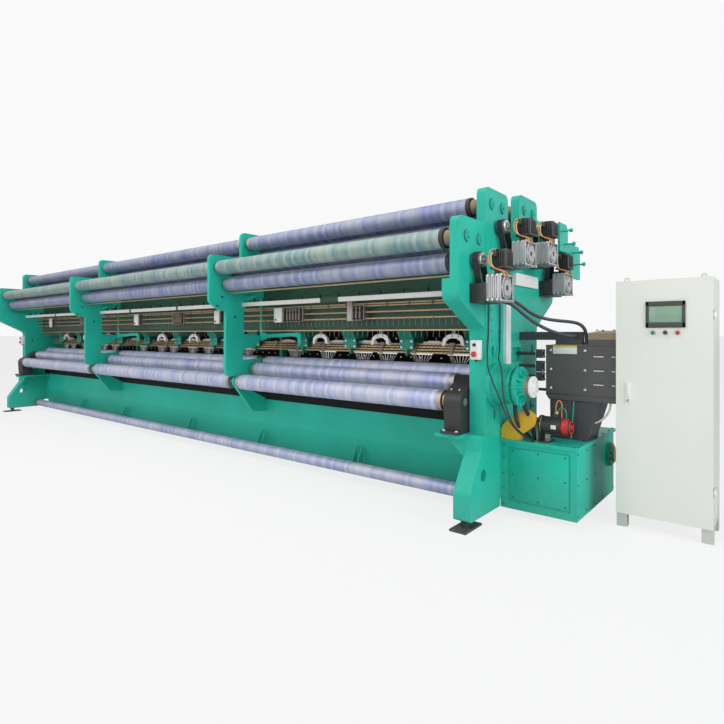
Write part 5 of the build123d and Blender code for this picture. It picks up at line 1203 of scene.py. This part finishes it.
class MACHINE_OT_knitting(bpy.types.Operator):
    """Fit clamps, bolts and levers round the guide bars, and a near-black strip of painted shade under
    the take-up rollers
    """

    bl_idname = "machine.knitting_trim"
    bl_label = "Knitting parts"

    def execute(self, context):
        steps = np.arange(HANGERS_PER_BAY) + 0.5
        hangers = np.concatenate([x0 + steps * (x1 - x0) / HANGERS_PER_BAY + HANGER_SHIFT
                                  for x0, x1 in BAYS])
        self.bar_parts(hangers)
        self.fixed_parts(hangers)
        self.levers()
        return {"FINISHED"}

    @staticmethod
    def away(xs, hangers, clear):
        """The places that keep clear of every hanger plate over the bars' whole stroke."""
        gap = np.abs(xs[:, None] - hangers[None]).min(axis=1)
        return xs[gap > clear]

    def bar_parts(self, hangers):
        """Guide blocks that clamp the bars, white plates, the fans' weights and the bright needles'
        heads.
        """
        xs = self.away(np.arange(-4480.0, 4540.0, 396.0), hangers, 62)
        steps = ((22, -68, 1262, -59, 1286), (24, -59, 1288, -47, 1312),
                 (24, -48, 1314, -35, 1338), (30, -37, 1340, -23, 1370))
        saddle = joined([block((-half, y0, z0), (half, y1, z1), 2) for half, y0, z0, y1, z1 in steps])
        put("bar_clamps", saddle.copies(along_x(xs)), "dull_steel", body="guide")
        plate = block((-118, -22, 1360), (118, -6, 1378), 3) + block((-60, -30, 1374), (60, -8, 1386), 3)
        xs = self.away(np.arange(-4282.0, 4440.0, 396.0), hangers, 150)
        put("bar_plates", plate.copies(along_x(xs)), "arm_white", body="guide")
        leg = tube([(0, -62, 1256), (8, -62, 1230), (22, -60, 1190), (30, -58, 1160)], 5.0, 6)
        legs = joined([leg.shifted(x=-96), leg.shifted(x=-80), leg.shifted(x=-64)])
        xs = fan_places(hangers)
        put("fan_weights", legs.copies(along_x(xs)), "dull_steel", body="guide")
        rows = []
        for i in range(4):
            xs = self.away(np.arange(-4560.0, 4540.0, 44.0) + 11 * i, hangers, 50)
            rows.append(along_x(xs, 12 * i - 60, 26 * i + 1274))
        pin = lathe([(-5, 3.2), (-4, 4.6), (0, 4.6)], (0, 0, 0), "Y", 6)
        put("bar_pins", pin.copies(np.vstack(rows)), "dull_steel", body="guide")

    def fixed_parts(self, hangers):
        """Comb cheek bolts, rocker arm bolts, trough wall bolts, and near-black strips of painted shade
        on the bed and under the beam.
        """
        cheeks = np.array([(x + a, -92, z) for x in hangers for a in (-58, 58) for z in (1322, 1380)])
        arms = np.array([(x + a, -175, b) for x in rocker_places()
                         for a, b in ((-103, 1360), (103, 1360), (0, 1466), (-70, 1418), (70, 1418))])
        head = hex_bolts([(0, 0, 0)], "Y", 15, -1)
        put("hanger_bolts", head.copies(cheeks), "zinc")
        put("rocker_bolts", head.copies(arms), "dark_bolt")
        xs = np.concatenate([np.arange(x0 + 160, x1 - 140, 118.0) for x0, x1 in BAYS])
        dots = np.vstack([along_x(xs + s, 160, z) for s, z in ((0, 1216), (59, 1404), (0, 1300))])
        put("trough_bolts", hex_bolts(dots, "Y", 13, -1), "zinc")
        lip = along_x(xs, -100, 1150)
        put("trough_lip_bolts", hex_bolts(lip, "Y", 13, -1), "brass")
        # Near-black strips of painted shade along the bed's top front edge, in the shadow under the
        # take-up rollers
        fold = [(-178, 688), (-180, 740), (-180, 792), (-170, 800), (-150, 800)]
        bed_shade_strips = [folded(fold, x0 + 4, x1 - 4, 5.0) for x0, x1 in BAYS]
        put("bed_painted_shade_strips", joined(bed_shade_strips), "shadow_black")
        # Near-black strips of painted shade that close the gap between the trough's back wall and the
        # beam
        shade_closers = [block((max(x0 + 2, -4558), 164, 1438), (min(x1 - 2, 4558), 172, 1481), 1)
                   for x0, x1 in BAYS]
        put("beam_closing_strips", joined(shade_closers), "shadow_black")
        arch = [(1350, -104), (1404, -98), (1438, -60), (1450, -20), (1450, 52), (1432, 92), (1392, 108),
                (1350, 112), (1350, 84), (1386, 76), (1410, 44), (1414, -8), (1404, -44), (1384, -68),
                (1350, -76)]
        plate = drawn(arch, -190, -174, "Y", 2)
        xs = np.array(rocker_places())
        put("rocker_covers", plate.copies(along_x(xs)), "arm_white")

    @staticmethod
    def levers():
        """The long arms from the mid frames' posts, the wedges above them and the bed's roller stays."""
        arm = [(1368, 0), (1466, 0), (1466, 70), (1446, 120), (1462, 500), (1466, 640), (1436, 668),
               (1336, 672), (1330, 634), (1416, 612), (1424, 500), (1404, 120), (1380, 60)]
        wedge = [(1796, 0), (1874, 0), (1874, 214), (1856, 214)]
        shapes = []
        for x in (1840.0, -1600.0):
            shapes.append(drawn(arm, -262, -238, "Y", 2).shifted(x=x))
            shapes.append(drawn(wedge, -500, -400, "Y", 2).shifted(x=x))
        put("mid_frame_arms", joined(shapes), "teal_paint")
        fin = [(-176, 330), (-262, 176), (-262, 160), (-176, 160)]
        stays = [x for s in (-2961, -1480, 320, 1764, 3221) for x in (s, s + 72)]
        fins = joined([drawn(fin, x, x + 9) for x in stays])
        put("bed_stays", fins, "teal_paint")


class MACHINE_OT_frame_bolts(bpy.types.Operator):
    """Set the frames' bolts, dark rings of painted shade in the bearing caps' grooves, and foot nuts"""

    bl_idname = "machine.frame_bolts"
    bl_label = "Frame bolts"

    def execute(self, context):
        rings = []
        for side in (-1, 1):
            for name, y, z in feed_axes():
                if side < 0 or not name.endswith("_c"):
                    # Dark hoops of painted shade in the grooves of the bearing caps
                    rings.append(hoop((side * 4801.5, y, z), 42.0, 2.6, sides=30, around=6))
                    rings.append(hoop((side * 4809.8, y, z), 26.0, 1.8, sides=30, around=6))
        put("cap_groove_shade", joined(rings), "dark_bolt")
        caps = [p for name, y, z in feed_axes() if not name.endswith("_c") for p in [(4812, y, z)]]
        heads = hex_bolts(caps, "X", 24)
        column = [(4800, y, z) for y in (-430, 430) for z in (1474, 1402, 1640, 1560, 800)]
        column += [(4800, y, z) for y in (-290, 290) for z in (1474, 1402)]
        heads = heads + screws(column, "X", 11)
        put("frame_bolts", heads, "teal_paint")
        mid = [(x, y, z) for x in (1840, -1600)
               for y, z in ((-791, 1851), (-619, 1638), (-856, 1751), (791, 1851))]
        put("mid_frame_bolts", screws(mid, "X", 13), "dark_bolt")
        feet = [(x, y, 17) for x in (-4730, 4730) for y in (-719.5, 719.5)]
        nuts = hex_bolts(feet, "Z", 58) + hex_bolts([(x, y, 48) for x, y, _ in feet], "Z", 56)
        put("foot_nuts", nuts, "dark_bolt")
        return {"FINISHED"}


class MACHINE_OT_cabinet(bpy.types.Operator):
    """Fit the cabinet's screen, switches, handle and vents"""

    bl_idname = "machine.cabinet_trim"
    bl_label = "Cabinet"

    def execute(self, context):
        y = DOOR_FRONT_Y
        x0, x1, z0, z1 = 5792.5, 6042.5, 1495.0, 1685.0
        bars = ((x0, z0, 5814, z1), (6021, z0, x1, z1), (x0, 1650, x1, z1), (x0, z0, x1, 1534))
        frame_sides = joined([block((a, y - 12, b), (c, y + 0.5, d), 4) for a, b, c, d in bars])
        bezel = put("screen_bezel", frame_sides, "bezel", body="door")
        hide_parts("door_fittings")
        put("screen_glass", block((5808, y - 7.5, 1528), (6027, y + 0.5, 1656), 1),
            "screen_glass", body="door")
        collars, black = [], []
        for x in (5839.5, 5917.5, 5995.5):
            collar = [(y - 5, 12), (y - 5, 17), (y - 2, 19), (y + 0.5, 19)]
            collars.append(lathe(collar, (x, 0, 1460), "Y", 24))
            cap = lathe([(y - 21, 8), (y - 20, 12), (y - 8, 13.5), (y - 4, 13.5)], (x, 0, 1460), "Y", 20)
            key = {5839.5: "green_plastic", 5917.5: "black_plastic", 5995.5: "red_plastic"}[x]
            put(f"switch_{int(x)}", cap, key, "black_plastic", "door")
            black.append(block((x - 2.5, y - 24, 1446), (x + 2.5, y - 18, 1462), 1))
        put("switch_collars", joined(collars), "zinc", body="door")
        black.append(block((5671, y - 15.5, 948), (5677, y - 13, 966), 1))
        put("door_black_parts", joined(black), "black_plastic", body="door")
        handle = (block((5652, y - 4, 925), (5696, y + 0.5, 1090), 2)
                  + block((5660, y - 14, 985), (5688, y - 3, 1082), 5))
        put("door_handle", handle, "white_plastic", body="door")
        lock = lathe([(y - 15, 8), (y - 14, 13), (y - 4, 14), (y - 2, 14)], (5674, 0, 957), "Y", 20)
        put("door_lock", lock, "zinc", body="door")
        slots = [block((x, 110, 190 + 15 * k), (x + 9, 210, 198 + 15 * k), 2.5)
                 for x in (6203, 5583) for k in range(12)]
        edge = block((6203, 98, 176), (6207, 222, 184), 1) + block((6203, 98, 372), (6207, 222, 380), 1)
        put("cabinet_vents", joined(slots) + edge, "white_paint")
        return {"FINISHED"}


class MACHINE_OT_paint(bpy.types.Operator):
    """Give every carried-over piece its finish"""

    bl_idname = "machine.paint"
    bl_label = "Finishes"

    special = {
        # The cabinet body shows only its side, in white paint darkened as painted shade
        "cabinet_body": "cabinet_side",
        "pattern_box": "pattern_paint",
        "pattern_lid": "lid_tan",
        "lower_trough": "shadow_black",
        "rocker_arms": "arm_white",
        "bar_hangers": "hanger_paint",
        "takeup_gearbox": "casting_black",
        "rod_carriers": "roller_steel",
        "feed_belts": "belt_rubber",
    }

    def execute(self, context):
        slots = {entry["node"]: entry["material_slot"] for entry in frame["record"]["subparts"]}
        for node, piece in frame["nodes"].items():
            key = self.special.get(node, slots[node])
            if "roller" in node:
                key = "roller_steel"
            piece.data.materials.clear()
            piece.data.materials.append(finish_of(key))
        return {"FINISHED"}


class MACHINE_PT_panel(bpy.types.Panel):
    """Lists the finishing steps"""

    bl_label = "Machine"
    bl_idname = "MACHINE_PT_panel"
    bl_space_type = "VIEW_3D"
    bl_region_type = "UI"
    bl_category = "Machine"

    def draw(self, context):
        for step in STEPS:
            self.layout.operator(step.bl_idname)


STEPS = (MACHINE_OT_stage, MACHINE_OT_conduits, MACHINE_OT_leads, MACHINE_OT_paint, MACHINE_OT_wraps,
         MACHINE_OT_drives, MACHINE_OT_reducer, MACHINE_OT_case, MACHINE_OT_pattern, MACHINE_OT_stops,
         MACHINE_OT_beam, MACHINE_OT_knitting, MACHINE_OT_frame_bolts, MACHINE_OT_cabinet)
CLASSES = (StageSettings, *STEPS, MACHINE_PT_panel)


def register():
    for item in CLASSES:
        bpy.utils.register_class(item)
    bpy.types.Scene.machine_stage = bpy.props.PointerProperty(type=StageSettings)


def unregister():
    del bpy.types.Scene.machine_stage
    for item in reversed(CLASSES):
        bpy.utils.unregister_class(item)


def main():
    register()
    for step in STEPS:
        group, name = step.bl_idname.split(".")
        getattr(getattr(bpy.ops, group), name)()


if __name__ == "__main__":
    main()
